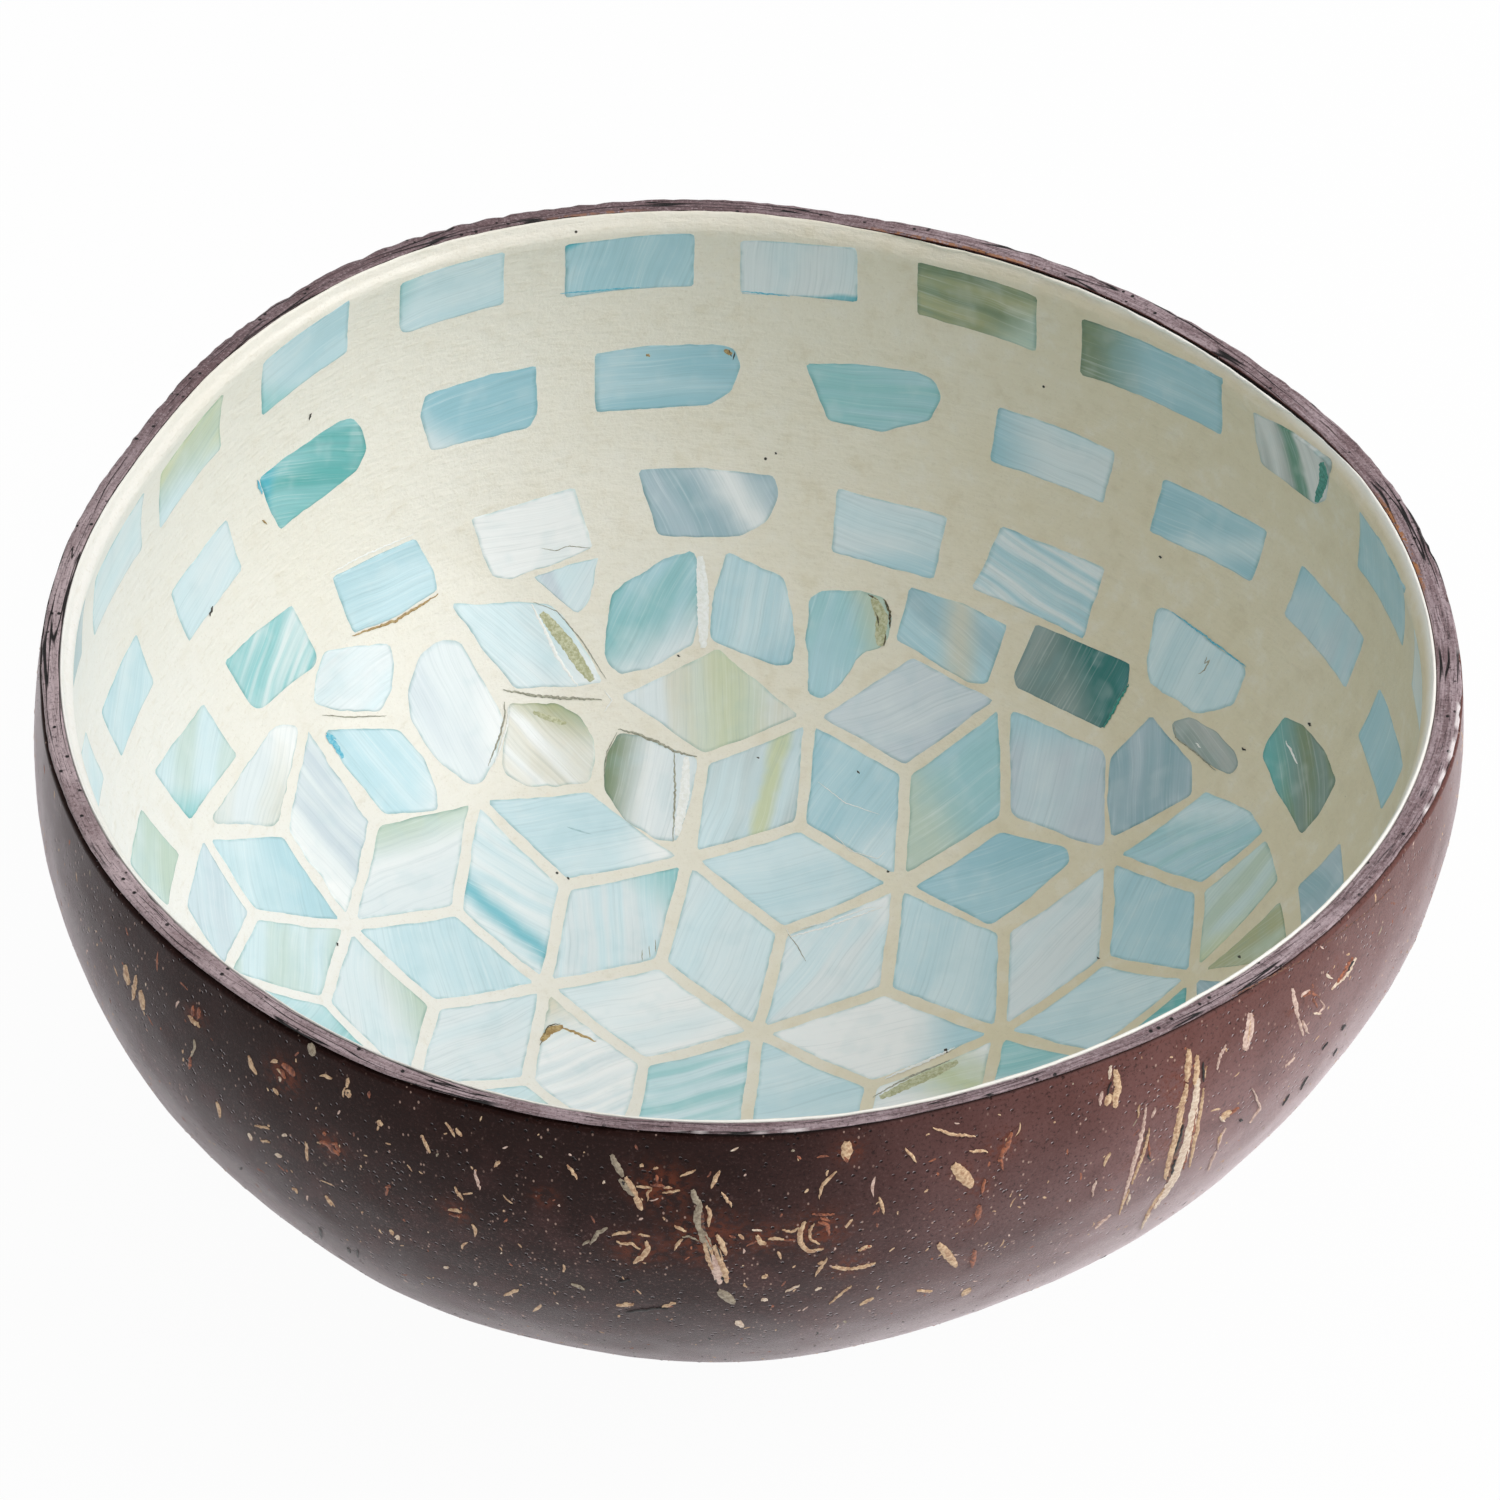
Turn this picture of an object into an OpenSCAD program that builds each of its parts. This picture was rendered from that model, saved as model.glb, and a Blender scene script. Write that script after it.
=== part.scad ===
// Coconut shell bowl: half a shell with a flat sanded under it, lined with cream putty
// that holds chips of mother-of-pearl in three brick rows over a floor of rhombs.
// Millimetres, +Z up, origin in the middle of the flat that the bowl stands on.
// Azimuth is in degrees from +X towards +Y. Arcs run up the wall from the floor's middle.

/* [Shell] */
// Width across the shell at its widest level
shell_d = 136; // [120:1:150]
// Depth of the full round below the widest level
round_h = 56.7; // [53:0.1:62]
// Height of the rim above the widest level
rim_rise = 9.2; // [7:0.1:12]
// Width of the flat that the bowl stands on
base_d = 36; // [28:1:42]
// Shell wall at the widest level
wall = 2.1; // [1.8:0.1:3]
// Shell left over the flat, under the lining
floor_t = 2.3; // [1.8:0.1:3]
// How far the hollow sits off the middle, which makes one wall thicker
hollow_off = 0.3; // [0:0.1:0.6]
// How far the three-sided swell of a coconut stands out
lobe_rise = 1; // [0:0.1:1.4]
// How far the oval swell stands out
oval_rise = 0.4; // [0:0.1:0.8]
// How far the rim's high side stands over its middle height
rim_tilt = 2; // [0:0.1:2.6]
// Height of the rim's slow wave
rim_wave = 0.4; // [0:0.1:0.8]
// Depth of the flat places that the nut grew with
flat_depth = 0.8; // [0:0.1:1]

/* [Lining] */
// Putty thickness at the widest level
lining_t = 1.5; // [1.3:0.1:2]
// Putty thickness over the floor's middle
lining_floor_t = 1.6; // [1.4:0.1:2.2]
// Putty thickness left at the rim, where it rolls over
lip_t = 0.7; // [0.5:0.1:1]
// How far below the rim the roll begins
lip_h = 2; // [1.5:0.1:2.4]

/* [Tiles] */
// Thickness of every chip
tile_t = 0.7; // [0.6:0.1:0.8]
// Clearance round and under a chip in its pocket
seat_gap = 0.05; // [0.03:0.01:0.08]
// Joint between two chips of the floor
joint_w = 1.1; // [0.8:0.1:1.6]
// Height of an upper row brick
upper_h = 7.4; // [6.4:0.1:8]
// Height of a middle row brick
middle_h = 6.2; // [5.4:0.1:7]
// Height of a lower row brick
lower_h = 6.8; // [5.8:0.1:7.4]

/* [Hidden] */

// Where the swells, the tilt and the wave of the rim point, in degrees
lobe_turn = -12;
oval_turn = 66;
tilt_turn = 170;
wave_turn = -22;
// Flat and full places round the nut, each as its direction and its share of the flat depth
flat_shares = [[22, -0.5], [78, 1], [121, -0.8], [157, 1.1], [-136, 0.4], [-89, -0.5]];
flat_turn = 13;

// Steps of the round faces
round_count = 72;
shell_ring_count = 13;
lining_ring_count = 13;

// Half sizes of the round outside, the hollow of the shell and the finished inside
outer_r = shell_d / 2;
hollow_r = outer_r - wall;
inner_r = hollow_r - lining_t;
base_tilt = asin(base_d / 2 / outer_r);
widest_z = round_h * cos(base_tilt);
hollow_h = widest_z - floor_t;
inner_h = hollow_h - lining_floor_t;

// Shortest turn from one direction to another, and how much of the flat depth a direction has
function turn_to(az, to) = let (d = (az - to) % 360) d > 180 ? d - 360 : d < -180 ? d + 360 : d;
function flat_share(az) = total([for (f = flat_shares) f[1] * exp(-pow(turn_to(az, f[0]) / flat_turn, 2))]);
function total(list, k = 0) = k == len(list) ? 0 : list[k] + total(list, k + 1);

// Width of the plan in each direction, as a share of the middle width
function plan(az) = 1 + (lobe_rise * cos(3 * (az - lobe_turn)) + oval_rise * cos(2 * (az - oval_turn))
    - flat_depth * flat_share(az)) / outer_r;
// Height of the rim over the widest level
function rim_up(az) = rim_rise + rim_tilt * cos(az - tilt_turn) + rim_wave * cos(2 * (az - wave_turn));

// Tilt of the place, seen from the middle, at which a round of depth h meets the rim
function rim_angle(az, h) = 90 + asin(rim_up(az) / h);
// A place on a round of radius r and depth h, at azimuth az and angle a from straight down
function on_round(az, a, r, h, off) =
    [r * sin(a) * plan(az) * cos(az) - off, r * sin(a) * plan(az) * sin(az), widest_z - h * cos(a)];

// Arc from the middle of the finished floor up to angle a, and the angle that an arc reaches
function arc_at(a) = (inner_r + inner_h) / 2 * a * PI / 180 + (inner_r - inner_h) / 4 * sin(2 * a);
function nearer(arc, a) = (arc - (inner_r - inner_h) / 4 * sin(2 * a)) / (inner_r + inner_h) * 360 / PI;
function angle_at(arc) = nearer(arc, nearer(arc, nearer(arc, nearer(arc, nearer(arc, nearer(arc, 45))))));
function rim_arc(az) = arc_at(rim_angle(az, inner_h));
// A place on the finished inside, at azimuth az and an arc
function inside_at(az, arc) = on_round(az, angle_at(arc), inner_r, inner_h, hollow_off);
// The same from a flat map of the floor, whose middle is the floor's middle
function inside_of(p) = inside_at(atan2(p[1], p[0]), norm(p));

// The faces between two rings of points, and faces turned over
function band(low, high) = [for (i = [0 : round_count - 1]) let (j = (i + 1) % round_count)
    each [[low + i, low + j, high + j], [low + i, high + j, high + i]]];
function flipped(faces) = [for (f = faces) [f[2], f[1], f[0]]];
function azimuths() = [for (i = [0 : round_count - 1]) i * 360 / round_count];

// The outside of the shell, from the flat's edge to the rim
function outer_ring(share) = [for (az = azimuths())
    on_round(az, base_tilt + (rim_angle(az, round_h) - base_tilt) * share, outer_r, round_h, 0)];
// The hollow of the shell and the back of the lining, from the floor to the rim
function hollow_ring(share) = [for (az = azimuths())
    on_round(az, rim_angle(az, hollow_h) * share, hollow_r, hollow_h, hollow_off)];
// The finished inside, where the last ring rolls over to the lip
function face_ring(share) = [for (az = azimuths())
    inside_at(az, (rim_arc(az) - lip_h) * share)];
function lip_ring() = [for (az = azimuths()) let (back = on_round(az, rim_angle(az, hollow_h),
    hollow_r, hollow_h, hollow_off)) back - lip_t * [cos(az), sin(az), 0]];

// A closed skin from rings that start at a middle point and end at another
module closed_skin(first, rings, last) {
    count = len(rings);
    points = concat([first], [for (ring = rings) each ring], [last]);
    fan_low = [for (i = [0 : round_count - 1]) [0, 1 + (i + 1) % round_count, 1 + i]];
    fan_high = [for (i = [0 : round_count - 1]) let (top = 1 + (count - 1) * round_count)
        [top + i, top + (i + 1) % round_count, count * round_count + 1]];
    sides = [for (k = [0 : count - 2]) each band(1 + k * round_count, 1 + (k + 1) * round_count)];
    polyhedron(points, flipped(concat(fan_low, sides, fan_high)), convexity = 6);
}

module coconut_shell() {
    outside = [for (k = [0 : shell_ring_count]) outer_ring(k / shell_ring_count)];
    hollow = [for (k = [lining_ring_count : -1 : 1]) hollow_ring(k / lining_ring_count)];
    color("#4a302c")
        closed_skin([0, 0, 0], concat(outside, hollow), on_round(0, 0, hollow_r, hollow_h, hollow_off));
}

module putty_sheet() {
    back = [for (k = [1 : lining_ring_count]) hollow_ring(k / lining_ring_count)];
    face = [for (k = [lining_ring_count : -1 : 1]) face_ring(k / lining_ring_count)];
    closed_skin(on_round(0, 0, hollow_r, hollow_h, hollow_off), concat(back, [lip_ring()], face),
        inside_at(0, 0));
}

// Bricks of the rows, each as its first and last azimuth, its lift and its slope as shares of the arc
upper_row_share = 0.902;
middle_row_share = 0.77;
lower_row_share = 0.628;
upper_seen_shares = [
    [8, 20, 0.004, -0.006], [24, 35.5, 0.004, -0.006], [40.5, 57, 0, -0.015], [61.5, 73.5, 0, 0.01],
    [79, 90, 0, -0.006], [94, 106, 0, 0], [111.5, 122, 0, 0], [127.5, 138.5, 0, -0.012],
    [144.5, 156, -0.01, -0.012], [159.5, 171.5, -0.015, -0.01]
];
middle_seen_shares = [
    [0, 11, 0, -0.005], [16, 28, 0.01, -0.005], [33, 46.5, 0, -0.02], [52, 65, -0.01, 0],
    [70, 84, 0.004, 0], [90, 103.5, 0, -0.004], [109, 120.5, 0, -0.008], [127.5, 139.5, 0, -0.01],
    [145, 156, -0.018, -0.008], [163, 173.5, -0.018, -0.008]
];
lower_seen_shares = [
    [9, 20.5, 0.02, -0.01], [29, 40.5, 0.006, -0.015], [49, 62.5, 0, -0.006], [68, 80, -0.006, 0.008],
    [86.5, 99.5, 0, -0.004], [106, 117, -0.006, -0.006], [122.5, 135.5, 0, 0.012],
    [140.5, 152.5, 0, 0.012], [158, 170, 0, 0.01], [175, 183, 0.004, 0]
];
// The rest of each row runs on in even steps, from and to the seen ones
upper_rest_count = 12;
middle_rest_count = 11;
lower_rest_count = 10;
brick_turn = 12;
function rest_of(seen, count) = let (start = seen[len(seen) - 1][1], gap = seen[0][0] + 360 - start,
        pitch = (gap - brick_turn * count) / (count + 1) + brick_turn)
    [for (k = [0 : count - 1]) [start + pitch * (k + 1) - brick_turn, start + pitch * (k + 1), 0, 0]];
function row_bricks(seen, rest, low_share, h) = [for (b = concat(seen, rest_of(seen, rest)))
    let (arc = rim_arc((b[0] + b[1]) / 2), low = arc * (low_share + b[2]), slope = -arc * b[3] / 2)
    [inside_at(b[0], low + slope), inside_at(b[1], low - slope),
        inside_at(b[1], low - slope + h), inside_at(b[0], low + slope + h)]];
upper_bricks = row_bricks(upper_seen_shares, upper_rest_count, upper_row_share, upper_h);
middle_bricks = row_bricks(middle_seen_shares, middle_rest_count, middle_row_share, middle_h);
lower_bricks = row_bricks(lower_seen_shares, lower_rest_count, lower_row_share, lower_h);

// Star points of the floor lie on a slanted grid, whose pitch is a share of the arc up to a level rim.
// Each is hand-laid a little off it.
star_pitch_share = 0.2266;
star_pitch = star_pitch_share * arc_at(90 + asin(rim_rise / inner_h));
grid_turn = -7.5;
grid_at_share = [0.73, 1.07];
laid_off_shares = [
    [0, 0, 0.02, 0], [-1, 0, 0.03, 0.03], [0, -1, -0.04, 0.02], [1, -1, 0.06, -0.04],
    [1, 0, 0.04, -0.02], [-2, 0, 0, 0.07], [-2, -1, -0.02, -0.06], [-1, -1, -0.04, 0.07],
    [-2, 1, 0.02, -0.13], [-1, 1, 0, -0.05], [0, 1, -0.02, 0.02], [2, 0, -0.02, -0.21],
    [-3, 0, 0.02, 0.01], [-3, -1, 0.1, -0.16], [-3, 1, 0.08, -0.06], [1, 1, 0.12, -0.1]
];
function laid_off(i, j) = let (found = [for (s = laid_off_shares) if (s[0] == i && s[1] == j) [s[2], s[3]]])
    len(found) > 0 ? found[0] : [0, 0];
function turned(a) = [cos(a), sin(a)];
function star(i, j) = star_pitch * (grid_at_share + i * turned(grid_turn) + j * turned(grid_turn + 60)
    + laid_off(i, j));
function middle_of(points) = [for (k = [0 : len(points[0]) - 1]) let (list = [for (p = points) p[k]])
    total(list) / len(list)];

// Each floor block is the three rhombs on the sides of one triangle of star points
function triangle_middle(i, j, up) = up ? middle_of([star(i, j), star(i + 1, j), star(i, j + 1)])
    : middle_of([star(i + 1, j), star(i, j + 1), star(i + 1, j + 1)]);
function block_rhombs(i, j) = let (core = triangle_middle(i, j, true)) [
    [star(i, j), triangle_middle(i, j - 1, false), star(i + 1, j), core],
    [star(i + 1, j), triangle_middle(i, j, false), star(i, j + 1), core],
    [star(i, j + 1), triangle_middle(i - 1, j, false), star(i, j), core]
];

// The floor ends a joint below the lower row, where its rhombs are cut straight
border_share = 0.612;
least_share = 0.22;
least_turn_share = 0.2;
function rhomb_area() = star_pitch * star_pitch / sqrt(3) / 2;
function cross2(a, b) = a[0] * b[1] - a[1] * b[0];
function area(p) = abs(total([for (k = [0 : len(p) - 1]) cross2(p[k], p[(k + 1) % len(p)])])) / 2;
// What is left of an outline on the inner side of a straight cut, at distance d along direction n
function cut_off(p, n, d) = [for (k = [0 : len(p) - 1])
    let (a = p[k], b = p[(k + 1) % len(p)], ha = a * n - d, hb = b * n - d)
    each concat(ha <= 0 ? [a] : [], ha * hb < 0 ? [a + (b - a) * ha / (ha - hb)] : [])];
// An outline drawn in by w on every side, whichever way round it runs
function drawn_in(p, w) = let (count = len(p), hand = sign(total([for (k = [0 : count - 1])
        cross2(p[k], p[(k + 1) % count])])))
    [for (k = [0 : count - 1])
        let (before = p[(k + count - 1) % count], here = p[k], after = p[(k + 1) % count],
            u = (here - before) / norm(here - before), v = (after - here) / norm(after - here))
        here + w * hand * (v - u) / max(cross2(u, v) * hand, least_turn_share)];
// The outline without corners that lie closer than w to the next one
function thinned(p, w) = [for (k = [0 : len(p) - 1]) if (norm(p[(k + 1) % len(p)] - p[k]) > w) p[k]];
function kept(p) = let (mid = middle_of(p), az = atan2(mid[1], mid[0]),
        left = cut_off(p, turned(az), rim_arc(az) * border_share))
    len(left) > 2 && area(left) > least_share * rhomb_area()
    ? [drawn_in(thinned(left, 2 * joint_w), joint_w / 2)] : [];

// Star point that each block starts from, in grid steps
block_at = [
    [0, 0], [-1, 0], [-2, 0], [-3, 0], [1, 0], [-1, 1], [-2, 1], [-3, 1],
    [0, -1], [1, -1], [2, -1], [-1, -1], [-2, -1], [-3, -1], [0, -2], [1, -2],
    [2, -2], [-1, -2], [-2, -2], [-3, -2], [0, -3], [1, -3], [2, -3], [3, -3],
    [-1, -3], [-2, -3], [0, -4], [1, -4], [2, -4], [3, -4], [-1, -4], [1, -5], [2, -5]
];
function block_chips(k) = [for (m = block_rhombs(block_at[k - 1][0], block_at[k - 1][1]))
    each [for (p = kept(m)) [for (q = p) inside_of(q)]]];

// Odd chips that fill the border, each as its corners in azimuth and share of the arc to the rim
filler_shares = [
    [[55, 0.612], [43, 0.61], [42, 0.555], [55, 0.552]],
    [[33.5, 0.624], [30, 0.634], [23, 0.63], [23.5, 0.612], [28.5, 0.612]]
];
function chip_at(shares) = [for (c = shares) inside_at(c[0], c[1] * rim_arc(c[0]))];

// A flat chip laid over corners that lie on the inside: its middle, axes and flat outline
function unit(v) = v / norm(v);
function chip_frame(corners) = let (mid = middle_of(corners),
        across = unit(corners[1] - corners[0]),
        normal = unit(newell(corners)),
        up = unit(cross(normal, across)))
    [mid, cross(up, normal), up, normal * face_sign(mid, normal)];
function newell(c) = total3([for (k = [0 : len(c) - 1]) cross(c[k], c[(k + 1) % len(c)])]);
function total3(list) = [for (k = [0 : 2]) total([for (v = list) v[k]])];
function face_sign(mid, normal) = normal * ([-hollow_off, 0, widest_z] - mid) > 0 ? 1 : -1;
// How far the middle of a chip's corners lies over the round below it
function bow(mid, normal) = let (az = atan2(mid[1], mid[0] + hollow_off),
        r = norm([mid[0] + hollow_off, mid[1]]) / plan(az),
        a = atan2(r / inner_r, (widest_z - mid[2]) / inner_h))
    abs((on_round(az, a, inner_r, inner_h, hollow_off) - mid) * normal);

// The corners sink by a share of the bow, and the rest of it stands over the round in the middle
sunk_share = 0.4;
module laid(corners, grow = 0, deep = tile_t, over = 0) {
    frame = chip_frame(corners);
    mid = frame[0];
    normal = frame[3];
    side = cross(frame[2], normal);
    flat = [for (c = corners) [(c - mid) * side, (c - mid) * frame[2]]];
    top = -bow(mid, normal) * sunk_share;
    multmatrix([
        [side[0], frame[2][0], normal[0], mid[0]],
        [side[1], frame[2][1], normal[1], mid[1]],
        [side[2], frame[2][2], normal[2], mid[2]],
        [0, 0, 0, 1]
    ])
        translate([0, 0, top - deep])
            linear_extrude(height = deep + over)
                polygon(drawn_in(flat, -grow));
}
module chip(corners, tint) {
    color(tint)
        laid(corners);
}
module pocket(corners) {
    laid(corners, grow = seat_gap, deep = tile_t + seat_gap, over = tile_t);
}

all_blocks = [for (k = [1 : len(block_at)]) each block_chips(k)];
fillers = [for (shares = filler_shares) chip_at(shares)];

module putty_lining() {
    color("#e6e1d2")
        render(convexity = 6)
            difference() {
                putty_sheet();
                for (corners = concat(upper_bricks, middle_bricks, lower_bricks, all_blocks, fillers))
                    pocket(corners);
            }
}

// Bricks are handed out in threes, and the last node of a row takes what is left
node_brick_count = 3;
module row_part(bricks, part, tint) {
    for (k = [(part - 1) * node_brick_count : min(part * node_brick_count, len(bricks)) - 1])
        chip(bricks[k], tint);
}
module upper_part(part) {
    row_part(upper_bricks, part, "#a9d0dc");
}
module middle_part(part) {
    row_part(middle_bricks, part, "#8fc3cc");
}
module lower_part(part) {
    row_part(lower_bricks, part, "#c3dde6");
}
module floor_block(k) {
    for (corners = block_chips(k))
        chip(corners, "#b4d6e2");
}
module filler_chips() {
    for (corners = fillers)
        chip(corners, "#6f9f9c");
}

coconut_shell();
putty_lining();
for (k = [1 : 8]) upper_part(k);
for (k = [1 : 7]) middle_part(k);
for (k = [1 : 7]) lower_part(k);
for (k = [1 : 33]) floor_block(k);
filler_chips();
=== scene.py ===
"""Looks of the coconut shell bowl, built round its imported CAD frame."""

import math
import random

import bmesh
import bpy
import numpy as np
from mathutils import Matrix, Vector, noise


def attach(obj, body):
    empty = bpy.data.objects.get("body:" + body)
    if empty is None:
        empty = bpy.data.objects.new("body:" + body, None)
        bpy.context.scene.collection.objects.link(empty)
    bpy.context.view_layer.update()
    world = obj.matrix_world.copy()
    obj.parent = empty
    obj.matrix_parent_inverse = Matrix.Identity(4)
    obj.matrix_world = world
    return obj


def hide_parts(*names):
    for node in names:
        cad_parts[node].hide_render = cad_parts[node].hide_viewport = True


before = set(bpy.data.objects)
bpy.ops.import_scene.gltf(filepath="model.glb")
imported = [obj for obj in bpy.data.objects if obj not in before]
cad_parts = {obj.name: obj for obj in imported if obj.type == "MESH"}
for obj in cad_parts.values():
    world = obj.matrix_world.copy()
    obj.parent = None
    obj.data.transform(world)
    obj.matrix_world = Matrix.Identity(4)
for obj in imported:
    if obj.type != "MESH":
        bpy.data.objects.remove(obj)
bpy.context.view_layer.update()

MM = 0.001
BODY = "root"

# Sizes in millimetres and turns in degrees, as the CAD has them, apart from the lip, which is thinner here
OUTER_R, ROUND_H, RIM_RISE, BASE_R = 68.0, 56.7, 9.2, 18.0
WALL, FLOOR_T, HOLLOW_OFF = 2.1, 2.3, 0.3
LOBE_RISE, OVAL_RISE, RIM_TILT, RIM_WAVE, FLAT_DEPTH = 1.0, 0.4, 2.0, 0.4, 0.8
LINING_T, LINING_FLOOR_T, LIP_T, LIP_H = 1.5, 1.6, 0.42, 2.0
LOBE_TURN, OVAL_TURN, TILT_TURN, WAVE_TURN, FLAT_TURN = -12, 66, 170, -22, 13
FLATS = [(22, -0.5), (78, 1), (121, -0.8), (157, 1.1), (-136, 0.4), (-89, -0.5)]
BASE_TILT = math.degrees(math.asin(BASE_R / OUTER_R))
WIDEST_Z = ROUND_H * math.cos(math.radians(BASE_TILT))
CHIP_T = 0.7

# The three rounds of the bowl: the radius across, the height below the widest place, and how far it lies off
HOLLOW_R, HOLLOW_H = OUTER_R - WALL, WIDEST_Z - FLOOR_T
INNER_R, INNER_H = HOLLOW_R - LINING_T, HOLLOW_H - LINING_FLOOR_T
OUTSIDE, HOLLOW, INSIDE = (OUTER_R, ROUND_H, 0), (HOLLOW_R, HOLLOW_H, HOLLOW_OFF), (INNER_R, INNER_H, HOLLOW_OFF)

# The photograph's camera, in pixels, millimetres and degrees
PHOTO = 1500
CAMERA_TILT, CAMERA_FAR, CAMERA_AIM = 41.33, 600.0, np.array([0.8, 0.0, 48.18])
SENSOR, FOCAL_PX, PX_MM = 36.0, 6246.2, 0.1
VIEW_IN = np.array([0, math.cos(math.radians(CAMERA_TILT)), -math.sin(math.radians(CAMERA_TILT))])
VIEW_UP = np.array([0, math.sin(math.radians(CAMERA_TILT)), math.cos(math.radians(CAMERA_TILT))])
EYE = CAMERA_AIM - CAMERA_FAR * VIEW_IN
# The stretch of a ray in which a round is searched, by steps that are then halved so many times
NEAREST, FARTHEST, STEP, HALVINGS = CAMERA_FAR - 100, CAMERA_FAR + 120, 0.5, 24


def srgb(*c):
    """A colour given as the 0-255 values that the render should show."""
    lin = [v / 255 / 12.92 if v / 255 <= 0.04045 else ((v / 255 + 0.055) / 1.055) ** 2.4 for v in c]
    return (*lin, 1.0)


# ---------------------------------------------------------------- form
def cosd(a):
    return np.cos(np.radians(a))


def sind(a):
    return np.sin(np.radians(a))


def apart(a, b):
    """How many degrees a lies past b, from -180 to 180."""
    return (a - b + 180) % 360 - 180


def plan(az):
    """How far a round reaches at an azimuth, as a share of its radius: three-sided and oval, with flat places."""
    flat = sum(s * np.exp(-(apart(az, f) / FLAT_TURN) ** 2) for f, s in FLATS)
    return 1 + (LOBE_RISE * cosd(3 * (az - LOBE_TURN)) + OVAL_RISE * cosd(2 * (az - OVAL_TURN))
                - FLAT_DEPTH * flat) / OUTER_R


def rim_up(az):
    return RIM_RISE + RIM_TILT * cosd(az - TILT_TURN) + RIM_WAVE * cosd(2 * (az - WAVE_TURN))


def rim_angle(az, h):
    return 90 + np.degrees(np.arcsin(rim_up(az) / h))


def on_round(az, a, r, h, off):
    """Points of a round at an azimuth and an angle up from its lowest point."""
    w = r * sind(a) * plan(az)
    return np.stack([w * cosd(az) - off, w * sind(az), WIDEST_Z - h * cosd(a) + 0 * w], -1)


def arc_at(a):
    """The way along the inside from its lowest point to an angle."""
    return (INNER_R + INNER_H) / 2 * np.radians(a) + (INNER_R - INNER_H) / 4 * sind(2 * a)


def angle_at(arc):
    a = 45.0 + 0 * arc
    for _ in range(6):
        a = (arc - (INNER_R - INNER_H) / 4 * sind(2 * a)) / (INNER_R + INNER_H) * 360 / math.pi
    return a


def inside_at(az, arc):
    return on_round(az, angle_at(arc), *INSIDE)


def round_level(p, r, h, off):
    """Below zero inside the round, zero on it."""
    x, y = p[..., 0] + off, p[..., 1]
    az = np.degrees(np.arctan2(y, x))
    return np.hypot(x, y) ** 2 / (plan(az) * r) ** 2 + ((WIDEST_Z - p[..., 2]) / h) ** 2 - 1


def outward(p, r, h, off):
    """The directions out of a round at points on it."""
    x, y = p[:, 0] + off, p[:, 1]
    n = np.stack([x / r ** 2, y / r ** 2, (p[:, 2] - WIDEST_Z) / h ** 2], -1)
    return n / np.linalg.norm(n, axis=1)[:, None]


def to_inside(p, n):
    """Moves points along n onto the finished inside."""
    t0, t1 = np.zeros(len(p)), np.full(len(p), 0.3)
    f0 = round_level(p, *INSIDE)
    for _ in range(6):
        f1 = round_level(p + t1[:, None] * n, *INSIDE)
        step = np.where(abs(f1 - f0) > 1e-12, f1 * (t1 - t0) / np.where(f1 == f0, 1, f1 - f0), 0)
        t0, f0, t1 = t1, f1, t1 - step
    return p + t1[:, None] * n


def photo_rays(px):
    """The directions in which the photograph's pixels look."""
    px = np.asarray(px, float)
    return (VIEW_IN + np.outer((px[:, 0] - PHOTO / 2) / FOCAL_PX, [1, 0, 0])
            + np.outer((PHOTO / 2 - px[:, 1]) / FOCAL_PX, VIEW_UP))


def seen_on(px, r, h, off, far=False):
    """Where the photograph's pixels fall on a round: its near side, or its far side from within."""
    ray = photo_rays(px)
    steps = np.linspace(NEAREST, FARTHEST, round((FARTHEST - NEAREST) / STEP) + 1)
    inside = np.stack([round_level(EYE + s * ray, r, h, off) for s in steps], 1) < 0
    first = np.argmax(inside, 1)
    last = inside.shape[1] - 1 - np.argmax(inside[:, ::-1], 1)
    low, high = (steps[last], steps[last] + STEP) if far else (steps[first] - STEP, steps[first])
    for _ in range(HALVINGS):
        mid = (low + high) / 2
        within = round_level(EYE + mid[:, None] * ray, r, h, off) < 0
        keep_low = within if far else ~within
        low, high = np.where(keep_low, mid, low), np.where(keep_low, high, mid)
    return EYE + mid[:, None] * ray


def lumps(p, scale, seed):
    """Slow bumps with finer ones on them."""
    return np.array([noise.fractal(Vector(q) / scale + Vector((seed, 0, 0)), 1.0, 2.0, 3) for q in p])


def swell(p):
    """The slow waves of the hand-smoothed inside, which putty and chips share."""
    return 0.06 * np.array([noise.noise(Vector(q) / 8 + Vector((7, 0, 0))) for q in p])


# ---------------------------------------------------------------- meshes
def make(name, points, faces, *materials):
    mesh = bpy.data.meshes.new(name)
    mesh.from_pydata([tuple(p) for p in np.asarray(points) * MM], [], faces)
    mesh.validate()
    for f in mesh.polygons:
        f.use_smooth = True
    for m in materials:
        mesh.materials.append(m)
    obj = bpy.data.objects.new(name, mesh)
    bpy.context.scene.collection.objects.link(obj)
    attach(obj, BODY)
    return obj


def store(mesh, values):
    """Keeps values of the points on the mesh, for the materials."""
    for name, rows in values.items():
        kind, field = (("FLOAT", "value") if rows.ndim == 1 else ("FLOAT_VECTOR", "vector") if rows.shape[1] == 3
                       else ("FLOAT_COLOR", "color"))
        layer = mesh.attributes.new(name, kind, "POINT")
        layer.data.foreach_set(field, rows.astype(np.float32).ravel())


def tube(count, n):
    """Faces between closed rings of n points, in order."""
    return [(k * n + i, k * n + (i + 1) % n, (k + 1) * n + (i + 1) % n, (k + 1) * n + i)
            for k in range(count - 1) for i in range(n)]


def fan(middle, first, n):
    """Faces between a middle point and a ring of n points."""
    return [(middle, first + i, first + (i + 1) % n) for i in range(n)]


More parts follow.
